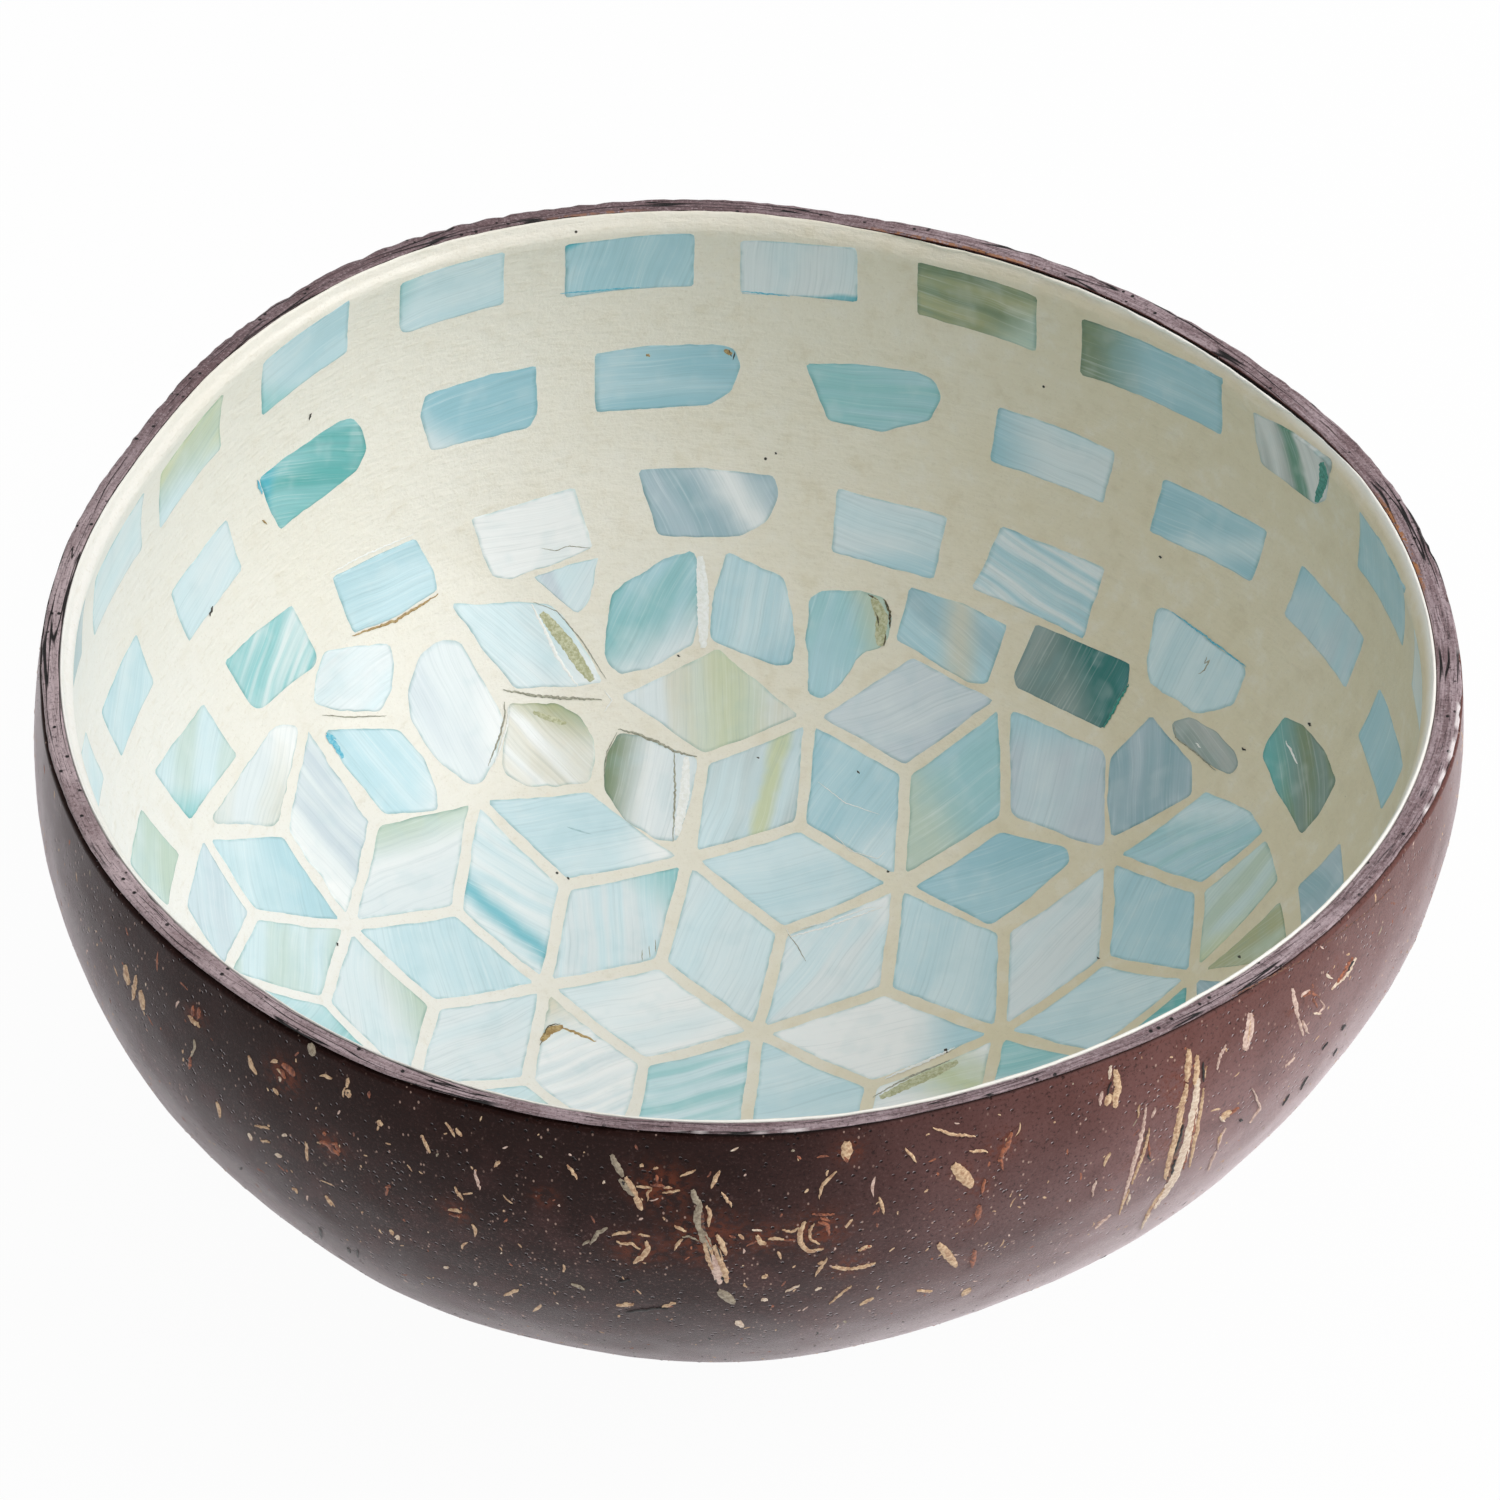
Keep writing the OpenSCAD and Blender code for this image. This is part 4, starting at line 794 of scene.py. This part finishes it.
LOOKS = {
    "U0": look("blue sky steel", 60),
    "U1": look("grey white sea", 74, 2.4, 0.6, (-14, -0.2, 0.16, 0.12), 0.3, 0.4, 0.4,
               (1254, 409, 1256, 440, 1262, 464, 1290, 488, 1314, 506, 1325, 502, 1331, 470, 1328, 462, 1290, 432)),
    "U2": look("blue sky moss", -25, 4, 0.5, (150, 0.45, 3, 0.5)),
    "U3": look("moss olive sage", -25, 2.0, 1.0, (-60, 0.55), 0.3),
    "U4": look("pearl ice cyan", 80, 5, 0.6, (-90, 0.84, 3, 0.08), wave=0.3),
    "U5": look("sky blue cyan", 85, 5, 0.5, (128, 0.86, 3, 0.08), wave=0.3),
    "U6": look("ice sky aqua", 30, 5, 0.6, (180, 0.8), corner=(1.6, 0.4, 0.3, 0.4), wave=0.3),
    "U7": look("sky ice aqua", 45, 4, 0.6, (-90, 0.6)), "U8": look("lime sage ice", 55, 3, 0.8, (-60, 0.25, 3, 0.6)),
    "U9": look("ice pearl ice", 50), "M0": look("blue sky steel", 60),
    "M1": look("sky lavender blue", 50, 4, 0.6, (90, 0.7)),
    "M2": look("blue sky ice", -25, 2, 0.7, (-90, 0.2, 0.5, 0.3)),
    "M3": look("ice pearl blue", -25, 4, 0.7, (180, 0.5, 3, 0.5), wave=0.7),
    "M4": look("aqua sky teal", -8, 1.6, 0.6, (0, 0.8), 0.3, 0.6, 0.5,
               (804, 363, 827, 421, 881, 432, 931, 421, 942, 397, 936, 382, 919, 372, 858, 364)),
    "M5": look("blue ice sky", 5, 4, 0.5, (0, 2), 0.2, 0.5, 0.5,
               (593, 352, 594, 412, 650, 410, 712, 405, 732, 392, 741, 365, 735, 348, 722, 344, 650, 346)),
    # M6's pearl third colour at the lower left is a painted sheen
    "M6": look("blue blue pearl", 24, 3, 0.5, (-115, 0.62, 3, 0.35), 0.3, 0.4, 0.6,
               (424, 394, 419, 416, 428, 451, 480, 440, 528, 427, 538, 412, 537, 364, 480, 378)),
    "M7": look("teal aqua cyan", 8, 2.5, 0.8, (180, 0.75, 3, 0.12), 0.3, 0.4, 0.6,
               (257, 478, 270, 515, 279, 530, 320, 500, 358, 470, 366, 450, 362, 428, 352, 418, 340, 420, 300, 448)),
    "M8": look("ice pearl ice", 50, 4, 0.6, (180, 0.4)), "M9": look("ice sky ice", 70),
    "L0": look("moss slate teal", 118, 2.0, 0.7, (195, 0.3, 3, 0.5), 0.3, 0.5, 0.5,
               (1286, 716, 1268, 740, 1263, 756, 1275, 790, 1303, 836, 1320, 815, 1338, 782, 1325, 752, 1300, 722)),
    "L1": look("ice sky cyan", 60, 3, 0.5, (62, 0.9, 3, 0.08), 0.3, 0.8, 0.9,
               (1158, 607, 1147, 660, 1150, 682, 1195, 714, 1235, 706, 1248, 668, 1210, 640, 1172, 610)),
    "L2": look("sky white cyan", -30, 0.8, 0.7, (-90, 0.88, 3, 0.1), 1.2, 0.3, 0.5,
               (1001, 525, 972, 588, 1040, 618, 1085, 640, 1092, 610, 1107, 568, 1060, 550)),
    "L3": look("ice pearl sky", -20, 5, 0.6, (-90, 0.5)),
    # L4's white third colour at its upper right is a painted highlight
    "L4": look("steel lavender white", -62, 3, 0.5, (35, 0.2, 0.6, 0.3), 0.3, 0.6, 0.5,
               (637, 469, 645, 500, 657, 536, 700, 539, 743, 537, 770, 520, 779, 496, 775, 474, 700, 468)),
    "L5": look("white white white", 10, 5, 0.2, (-90, 0.7), 0.2, 0.4, 0.6,
               (470, 518, 484, 560, 492, 577, 510, 580, 560, 561, 594, 548, 585, 520, 575, 487)),
    "L6": look("sky ice sky", 20, 6, 0.3, (180, 0.8), 0.2, 0.4, 0.4,
               (331, 577, 352, 634, 400, 616, 437, 590, 434, 570, 416, 537)),
    "L7": look("aqua white aqua", 60, 1.2, 0.7, (180, 0.6, 3, 0.5), 0.5, (0.4, 2.0, 1.6, 0.6)),
    "L8": look("ice sage aqua", 60, 4, 0.6, (-90, 0.6)), "L9": look("sage ice sage", 60),
    "1.0": look("blue sky blue", 20, 6, 0.6, (0, 2), 0.1, 0.6, 0.4,
                (914, 888, 955, 862, 1000, 831, 1040, 840, 1068, 848, 1071, 862, 1030, 897, 989, 926)),
    "1.1": look("lavender ice sky", 85, 4, 0.6, (90, 0.6), 0.2, 1.2),
    "1.2": look("sky aqua sage", 40, 3, 0.6, (215, 0.2, 3, 0.4)),
    "2.0": look("sky blue ice", 60, 2, 0.8, (-70, 0.5), 0.6), "2.1": look("ice sky blue", 15, 5, 0.6),
    "2.2": look("ice grey lime", 75, 3, 0.5, (-12, 0.16, 0.5, 0.12)),
    "3.0": look("pearl white moss", 75, 2, 0.7, (170, 0.4, 3, 0.5), 0.4, 0.5, 0.6,
                (617, 732, 605, 760, 604, 790, 625, 822, 655, 840, 676, 843, 692, 800, 698, 758, 660, 743, 640, 735)),
    "3.1": look("white sand olive", -50, 2, 0.7, (65, 0.55, 3, 0.35), 0.5, 0.5, 0.9,
                (508, 702, 505, 730, 500, 760, 505, 775, 530, 786, 590, 785, 596, 760, 594, 740, 580, 715, 560, 703)),
    "3.2": look("ice sky white", 10, 4, 0.5, (0, 0.6)),
    "4.0": look("pearl lavender white", 110, 4, 0.6, (0, 0.6, 3, 0.4), 0.2, 0.6, 0.6, (440, 640, 460, 640, 490, 690,
                505, 722, 496, 760, 480, 786, 468, 786, 440, 765, 410, 720, 408, 690, 418, 656)),
    "4.1": look("pearl ice white", 30, 2, 0.7, (0, 2), 0.4, 0.6, 0.8,
                (324, 650, 313, 680, 312, 704, 335, 711, 383, 712, 394, 690, 396, 660, 390, 643, 350, 645)),
    "4.2": look("sky ice pearl", -50, 3, 0.8, (-20, 0.6, 3, 0.3), 0.3, 0.5, 0.5,
                (323, 730, 345, 765, 385, 815, 438, 811, 437, 790, 425, 757, 400, 729, 360, 727)),
    "5.0": look("sky aqua ice", 25, 1.2, 0.5, (90, 0.3, 0.8), 1.0),
    "5.1": look("steel lavender cyan", 100, 3, 0.6, (60, 0.88, 3, 0.1), 0.3, 0.5, 0.4,
                (1110, 757, 1152, 715, 1172, 740, 1192, 762, 1192, 795, 1150, 818, 1112, 838, 1106, 800)),
    "6.0": look("sky steel sand", -40, 3, 0.6, (0, -0.1, 0.25, 0.3), 0.2, 0.4, 0.4,
                (910, 587, 896, 640, 968, 683, 988, 684, 1009, 625, 960, 602)),
    "6.1": look("lavender pearl ice", 20, 5),
    "6.2": look("sky aqua sage", 75, 3, 0.6, (15, 0.3, 3, 0.3), 0.3, 0.5, 0.8, (808, 600, 805, 640, 808, 695, 822, 700,
                845, 678, 862, 655, 877, 650, 889, 640, 892, 615, 886, 598, 862, 591, 820, 590)),
    "7.0": look("ice sky blue", 80, 2, 0.8, (-60, 0.5, 3, 0.5), 0.6, 0.6, 0.8,
                (712, 600, 709, 640, 740, 653, 775, 668, 792, 666, 797, 640, 785, 578, 760, 566, 726, 551)),
    "7.1": look("pearl sand lime", 90, 3, 0.7, (0, -0.1, 0.5, 0.5)),
    "7.2": look("sky teal pearl", 60, 3.5, 0.6, (-60, 0.4, 3, 0.6), 0.4, 0.5, 0.9,
                (612, 592, 603, 650, 607, 668, 620, 677, 660, 664, 695, 645, 699, 620, 697, 560, 692, 551, 662, 558)),
    "8.0": look("ice pearl lavender", 60, 4, 0.5, (200, 0.35, 0.8, 0.15), 0.2, 0.4, 0.8,
                (533, 577, 560, 600, 578, 613, 590, 598, 600, 556, 565, 566)),
    "8.1": look("ice pearl white", -40, 3, 0.7, (-20, 0.5, 3, 0.4), 0.3, 0.4, 0.6,
                (449, 604, 480, 645, 516, 689, 575, 688, 603, 684, 590, 655, 565, 618, 548, 603, 520, 601)),
    "9.0": look("white white sky", 15, 3, 0.7, (0, 0.5)), "9.1": look("ice sky sky", 85, 4, 0.6),
    "9.2": look("pearl ice white", 60, 2, 0.9, (60, 0.7), 0.4), "10.0": look("ice sky aqua", 20, 4, 0.5),
    "10.1": look("sky blue sky", 80, 4, 0.5), "10.2": look("pearl ice sage", 60, 4, 0.6),
    "11.0": look("sage ice lime", 60, 3, 0.6, (-60, 0.6)),
    "11.1": look("olive sage olive", 40, 3, 0.6, (-100, 0.4, 3, 0.5)), "12.0": look("ice pearl sky", 70, 4, 0.5),
    "12.1": look("ice pearl aqua", 88, 1.4, 0.9, (40, 0.6)), "12.2": look("white ice lavender", 15, 4, 0.6),
    "13.0": look("ice white cyan", -35, 2, 0.6, (-140, 0.3, 0.6, 0.25), 0.3),
    "13.1": look("pearl white sage", 20, 4, 0.6, (105, 0.5, 3, 0.4)), "13.2": look("ice sky pearl", 88, 3, 0.5),
    "14.0": look("pearl lavender white", -55, 1.8, 0.9, (210, 0.5, 3, 0.4), wave=1.2),
    "14.1": look("pearl sand white", 60, 4, 0.6, (20, 0.3), 0.2, 1.2, 1.0),
    "14.2": look("ice sky sky", 85, 5, 0.5, (10, 0.2)), "15.0": look("ice aqua white", 20, 1.6, 0.8),
    "15.2": look("ice sky aqua", 20, 3, 0.6), "16.1": look("white pearl lime", 20, 2, 0.8, (60, 0.2, 0.7), 0.4),
    "16.2": look("aqua ice sky", 20), "18.0": look("pearl ice sage", 20, 3, 0.5),
    "18.1": look("white pearl sand", 25, 1.2, 1.0, (110, 0.7), 0.6, wave=1.0), "18.2": look("ice sage pearl", 25),
    "19.0": look("ice sage lavender", 60, 3, 0.6), "19.1": look("pearl ice sage", 70, 3, 0.6, (0, 0.5, 3, 0.5)),
    "20.0": look("ice lavender sky", 70),
    "F0": look("slate grey deep", 62, 3, 0.4, (20, 0.1, 3, 0.35), 0.2, 0.3, 0.2,
               (1036, 623, 1013, 676, 1016, 688, 1104, 730, 1130, 684, 1132, 664)),
    "F1": look("grey slate sand", -40, 2, 0.6, (0, 2), 0.4, 0.6, 0.5,
               (1172, 722, 1175, 738, 1195, 752, 1215, 770, 1232, 776, 1241, 766, 1236, 752, 1215, 731, 1192, 716)),
}
ROW_LETTERS = {"upper": "U", "middle": "M", "lower": "L"}
# Thin marks in and on the lacquer, with painted highlights and painted shade along the chips' edges, laid down in the
# same way
MARKS = {
    "ink": [
        (2.5, 212, 606, 209, 616), (4, 944, 1050, 948, 1052), (3, 1308, 723, 1311, 726), (2.5, 1242, 748, 1246, 751),
        (2.5, 1159, 556, 1162, 558), (2, 336, 943, 338, 946), (2, 567, 877, 569, 880), (2, 857, 771, 860, 774),
        (2, 1097, 957, 1100, 959), (3, 1238, 956, 1241, 958), (2, 309, 420, 311, 413), (2, 775, 452, 777, 454),
        (2, 677, 655, 680, 657), (2, 757, 757, 759, 759), (2.2, 729, 350, 732, 356), (1.6, 735, 352, 733, 360),
    ],
    # Grey lines: grime, and painted shade along the chips' edges
    "grime_and_edge_shade": [
        (1.2, 533, 602, 557, 611, 582, 641, 606, 679), (3, 503, 690, 530, 695, 560, 698, 602, 700),
        (2, 504, 702, 505, 716, 499, 738, 488, 766), (3, 618, 729, 640, 735, 658, 743, 676, 752, 697, 757),
        (1.4, 617, 732, 607, 752, 604, 776), (1.4, 322, 715, 345, 717, 386, 716),
        (1, 541, 548, 556, 551, 568, 546, 590, 548), (1.4, 1207, 657, 1205, 664, 1210, 660, 1204, 671, 1199, 674),
        (2, 674, 750, 675, 790, 673, 842), (2, 873, 1098, 900, 1082, 950, 1060), (1, 642, 950, 642, 961),
        (1, 649, 946, 650, 958), (1, 655, 940, 656, 952), (1.6, 1174, 724, 1176, 738, 1196, 753, 1216, 771),
        (1, 788, 934, 797, 946, 806, 962),
    ],
    # Painted highlights along the chips' edges and on the lacquer
    "shine": [
        (3.6, 531, 604, 545, 630, 556, 655, 570, 676, 578, 686), (2, 508, 706, 508, 722, 500, 748, 494, 764),
        (10, 686, 757, 685, 790, 677, 836), (12, 700, 556, 703, 600, 703, 648),
        (1.8, 786, 929, 791, 937, 820, 929, 850, 919, 883, 907), (1.2, 800, 929, 835, 920, 868, 908, 880, 907),
        (1, 835, 835, 850, 851, 878, 859, 885, 852), (1, 818, 782, 845, 803, 880, 815),
        (2.4, 1286, 741, 1292, 753, 1298, 764), (2, 1196, 743, 1201, 748), (2, 329, 574, 360, 557, 413, 534),
        (3, 885, 1079, 920, 1064, 955, 1048), (1.4, 604, 690, 612, 700, 604, 712),
    ],
    "ochre": [
        (8, 541, 1041, 550, 1031, 563, 1027), (3, 563, 1028, 580, 1035, 596, 1042), (5, 724, 350, 732, 354),
        (3, 646, 354, 650, 356), (3, 352, 636, 395, 621, 438, 594), (2, 262, 520, 267, 524),
    ],
    "cyan": [
        (6, 326, 735, 335, 745, 343, 758), (3, 326, 733, 336, 739), (1.6, 560, 293, 640, 287),
        (1.6, 742, 291, 790, 296), (3, 257, 480, 262, 494), (2, 1172, 612, 1200, 632, 1246, 667),
    ],
    "olive": [
        (13, 541, 613, 564, 640, 592, 681), (6, 533, 712, 547, 718, 566, 724), (9, 880, 1098, 920, 1080, 958, 1062),
        (12, 873, 598, 882, 616, 880, 646),
    ],
    "bark": [
        (3, 884, 599, 890, 612, 890, 628), (2, 868, 594, 878, 600), (2.4, 876, 612, 880, 630), (2, 886, 634, 884, 646),
        (1.6, 540, 1046, 548, 1026, 560, 1024),
    ],
    "jade": [
        (9, 1322, 462, 1324, 480, 1317, 502), (3, 1104, 728, 1117, 704, 1129, 684),
    ],
}
MARK_TINTS = {
    "ink": ((34, 30, 26), (60, 54, 46)), "grime_and_edge_shade": ((136, 134, 116), (178, 176, 156)),
    "shine": ((240, 240, 234), (252, 252, 250)), "ochre": ((150, 118, 66), (190, 164, 112)),
    "cyan": ((70, 176, 206), (140, 206, 220)), "olive": ((168, 168, 126), (208, 208, 176)),
    "bark": ((56, 48, 28), (122, 114, 80)), "jade": ((22, 116, 104), (70, 160, 146)),
}
# How far the rows of a mark's strip stand off the finished inside
MARK_LIFTS = (0.055, 0.085, 0.085, 0.055)


def build_marks():
    """Thin marks, painted highlights and painted edge shade, thin enough to lie in the lacquer over putty and chips."""
    rng = random.Random(MARK_SEED)
    for kind, lines in MARKS.items():
        part = Part()
        for width, *line in lines:
            strip = fibre_strip(np.reshape(line, (-1, 2)), width, rng)
            places = seen_on(strip, *INSIDE, far=True)
            lift = np.repeat(MARK_LIFTS, len(strip) // 4) + swell(places)
            part.join(places - outward(places, *INSIDE) * lift[:, None], strip_faces(len(strip), inward=True))
        marks = part.make("lacquer_" + kind, fibre_material(kind + "_mark", *MARK_TINTS[kind]))


# The chips that the photograph hides take these in turn
OTHERS = [
    look("sky ice blue", 20), look("blue sky steel", 60), look("aqua ice teal", 30, 3, 0.7, (0, 0.7)),
    look("ice pearl sky", 75), look("steel lavender sky", -20), look("sage ice olive", 50, 2.5, 0.8),
    look("pearl white ice", 20, 3, 0.6), look("teal aqua deep", 20, 2.5, 0.8, (180, 0.7)),
]


def chip_outlines(node):
    """Each chip of a CAD node: its middle, its plane's axes, and its corners in order, seen from inside."""
    bm = bmesh.new()
    bm.from_mesh(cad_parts[node].data)
    bmesh.ops.remove_doubles(bm, verts=bm.verts, dist=0.002 * MM)
    left, found = set(bm.verts), []
    while left:
        stack, piece = [left.pop()], []
        while stack:
            v = stack.pop()
            piece.append(v)
            for e in v.link_edges:
                w = e.other_vert(v)
                if w in left:
                    left.remove(w)
                    stack.append(w)
        found.append(np.array([v.co for v in piece]) / MM)
    bm.free()
    chips = []
    for p in found:
        mid = p.mean(0)
        normal = np.linalg.svd(p - mid)[2][2]
        if normal @ (np.array([0, 0, WIDEST_Z]) - mid) < 0:
            normal = -normal
        top = p[(p - mid) @ normal > 0]
        mid = top.mean(0)
        right = np.cross(VIEW_UP, normal)
        right /= np.linalg.norm(right)
        up = np.cross(normal, right)
        flat = np.stack([(top - mid) @ right, (top - mid) @ up], 1)
        flat = flat[np.argsort(np.arctan2(flat[:, 1], flat[:, 0]))]
        chips.append((mid, right, up, normal, flat))
    return chips


# A chip's outline: the points of a corner, then at least so many in all, so many millimetres apart
CORNER_POINTS, LEAST_POINTS, CHIP_STEP = 6, 32, 0.45


def rounded(corners, radii):
    """The outline with its corners rounded, in even steps: one radius, or one for each corner."""
    out, n = [], len(corners)
    radii = np.broadcast_to(radii, n)
    for k in range(n):
        a, b, c = corners[k - 1], corners[k], corners[(k + 1) % n]
        r = min(radii[k], np.linalg.norm(a - b) * 0.45, np.linalg.norm(c - b) * 0.45)
        p, q = b + (a - b) / np.linalg.norm(a - b) * r, b + (c - b) / np.linalg.norm(c - b) * r
        for t in np.linspace(0, 1, CORNER_POINTS):
            out.append((1 - t) ** 2 * p + 2 * t * (1 - t) * b + t ** 2 * q)
    closed = np.array([*out, out[0]])
    length = np.concatenate([[0], np.cumsum(np.linalg.norm(np.diff(closed, axis=0), axis=1))])
    count = max(LEAST_POINTS, int(length[-1] / CHIP_STEP))
    at = np.linspace(0, length[-1], count, endpoint=False)
    return np.stack([np.interp(at, length, closed[:, k]) for k in (0, 1)], 1)


# The rings of a chip's face, as shares of its outline, and how far each stands proud of the putty
CHIP_LIFT = 0.045
CHIP_RINGS = ((1.0, -0.14), (0.992, -0.02), (0.975, 0.03), *((f, CHIP_LIFT) for f in (0.93, 0.8, 0.6, 0.35, 0.12)))


def chip_mesh(chip, style, seed):
    """Points, faces and values of one chip, bent to the round of the bowl."""
    mid, right, up, normal, flat = chip
    if len(style["shape"]):
        ray = photo_rays(style["shape"])
        hit = EYE + ray * ((mid - EYE) @ normal / (ray @ normal))[:, None] - mid
        flat = np.stack([hit @ right, hit @ up], 1)
        flat = flat[np.argsort(np.arctan2(*(flat - flat.mean(0)).T[::-1]))]
    middle = flat.mean(0)
    mid, flat = mid + middle[0] * right + middle[1] * up, flat - middle
    radii = style["corner"]
    line = rounded(flat, radii if len(np.atleast_1d(radii)) in (1, len(flat)) else max(radii))
    n = len(line)
    way = np.roll(line, -1, 0) - np.roll(line, 1, 0)
    way /= np.linalg.norm(way, axis=1)[:, None]
    place = np.concatenate([line, np.full((n, 1), seed * 3.1)], 1)
    wave = style["wave"] * (0.3 * lumps(place, 3.5, 3) + 0.1 * lumps(place, 0.9, 5))
    line = line + np.stack([way[:, 1], -way[:, 0]], 1) * wave[:, None]
    rows = []
    for f, lift in CHIP_RINGS:
        xy = line * f
        p = to_inside(mid + xy[:, :1] * right + xy[:, 1:] * up, normal)
        rows.append(p + normal * (lift + swell(p))[:, None])
    tip = to_inside(mid[None], normal)
    tip = tip[0] + normal * (CHIP_LIFT + swell(tip)[0])
    deep = rows[0] - normal * (CHIP_T - 0.1)
    points = np.concatenate([deep, *rows, [tip]])
    faces = [tuple(range(n))[::-1], *tube(len(rows) + 1, n), *fan(len(points) - 1, len(rows) * n, n)]
    xy = np.stack([(points - mid) @ right, (points - mid) @ up], 1)
    t = style["slant"]
    turn, *span = style["side"]
    reach = xy @ [cosd(turn), sind(turn)]
    count = (len(xy), 1)
    values = {
        "grain": np.stack([xy @ [-sind(t), cosd(t)], xy @ [cosd(t), sind(t)], np.full(len(xy), seed * 7.3)], 1),
        "look": np.tile(style["streaks"], count), "span": np.tile(span, count), "side": reach / abs(reach).max(),
        "edge": np.append(np.repeat([1.0, *(f for f, _ in CHIP_RINGS)], n), 0.0),
        **{"tint_" + name: np.tile(COLOURS[tint], count) for name, tint in zip("abc", style["tints"])},
    }
    return points, faces, values


def look_key(node, k):
    """The name in LOOKS of a node's chip: its row's letter and number, the floor block's number and its own, or F."""
    row, last = node.split("_")[0], node.split("_")[-1]
    if row in ROW_LETTERS:
        return f"{ROW_LETTERS[row]}{(int(last) - 1) * 3 + k}"
    return f"{last}.{k}" if last.isdigit() else f"F{1 - k}"


def build_chips():
    pearl = pearl_material()
    seed = 0
    for node in sorted(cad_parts):
        if node in ("coconut_shell", "putty_lining"):
            continue
        chips = sorted(chip_outlines(node), key=lambda c: math.atan2(c[0][1], c[0][0]) % (2 * math.pi))
        part, values = Part(), []
        for k, chip in enumerate(chips):
            seed += 1
            p, f, v = chip_mesh(chip, LOOKS.get(look_key(node, k), OTHERS[seed * 5 % len(OTHERS)]), seed)
            part.join(p, f)
            values.append(v)
        obj = part.make(node + "_pearl", pearl)
        store(obj.data, {name: np.concatenate([v[name] for v in values]) for name in values[0]})
        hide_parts(node)


# ---------------------------------------------------------------- scene
# The floor and the lamps' aim in metres, how white the floor looks and how strong the light from all round is
FLOOR_SIZE, FLOOR_GAP, FLOOR_WHITE, WORLD_LIGHT = 6, 0.0002, 0.96, 0.34
LAMP_AIM = (0, 0, 0.04)


def lamp(name, place, size, power):
    """A round lamp, in metres and watts."""
    data = bpy.data.lights.new(name, "AREA")
    data.shape, data.size, data.energy = "DISK", size, power
    obj = bpy.data.objects.new(name, data)
    obj.location = place
    obj.rotation_euler = (Vector(LAMP_AIM) - Vector(place)).to_track_quat("-Z", "Y").to_euler()
    bpy.context.scene.collection.objects.link(obj)


def build_stage():
    """The floor, which is plain to the lamps and nearly white to the camera and in reflections, world and lamps."""
    bpy.ops.mesh.primitive_plane_add(size=FLOOR_SIZE, location=(0, 0, -FLOOR_GAP))
    floor = bpy.context.object
    floor.name = "pale_floor"
    mat = bpy.data.materials.new("pale_floor")
    mat.use_nodes = True
    nodes = Nodes(mat.node_tree)
    path = nodes.add("LightPath").outputs
    seen = nodes.maths("MAXIMUM", path["Is Glossy Ray"], path["Is Transmission Ray"])
    seen = nodes.times(nodes.maths("MAXIMUM", path["Is Camera Ray"], seen), FLOOR_WHITE)
    plain = nodes.add("BsdfDiffuse", {"Color": srgb(244, 244, 244)}).outputs[0]
    white = nodes.add("Emission", {"Strength": 1.0}).outputs[0]
    nodes.add("OutputMaterial", {0: nodes.add("MixShader", {0: seen, 1: plain, 2: white}).outputs[0]})
    floor.data.materials.append(mat)
    world = bpy.data.worlds.new("studio")
    world.use_nodes = True
    bpy.context.scene.world = world
    nodes = Nodes(world.node_tree)
    path = nodes.add("LightPath").outputs
    seen = nodes.maths("MAXIMUM", path["Is Camera Ray"], path["Is Transmission Ray"])
    back = nodes.add("Background", {"Color": (1, 1, 1, 1), "Strength": nodes.ramp(seen, 0, 1, WORLD_LIGHT, 1.0)})
    nodes.add("OutputWorld", {0: back.outputs[0]})
    lamp("key", (1.0, -0.15, 0.83), 1.1, 12.5)
    lamp("top", (-0.1, 0.15, 0.9), 0.7, 1.6)
    lamp("front", (0.1, -0.8, 0.35), 0.6, 0.7)


def build_camera():
    data = bpy.data.cameras.new("camera")
    data.sensor_width = SENSOR
    data.lens = FOCAL_PX / PHOTO * SENSOR
    data.clip_end = 20
    camera = bpy.data.objects.new("camera", data)
    camera.location = EYE * MM
    camera.rotation_euler = Vector(VIEW_IN).to_track_quat("-Z", "Y").to_euler()
    bpy.context.scene.collection.objects.link(camera)
    bpy.context.scene.camera = camera
    bpy.context.scene.view_settings.view_transform = "Standard"


build_stage()
build_camera()
build_shell()
build_fibres()
build_lining()
build_chips()
build_marks()
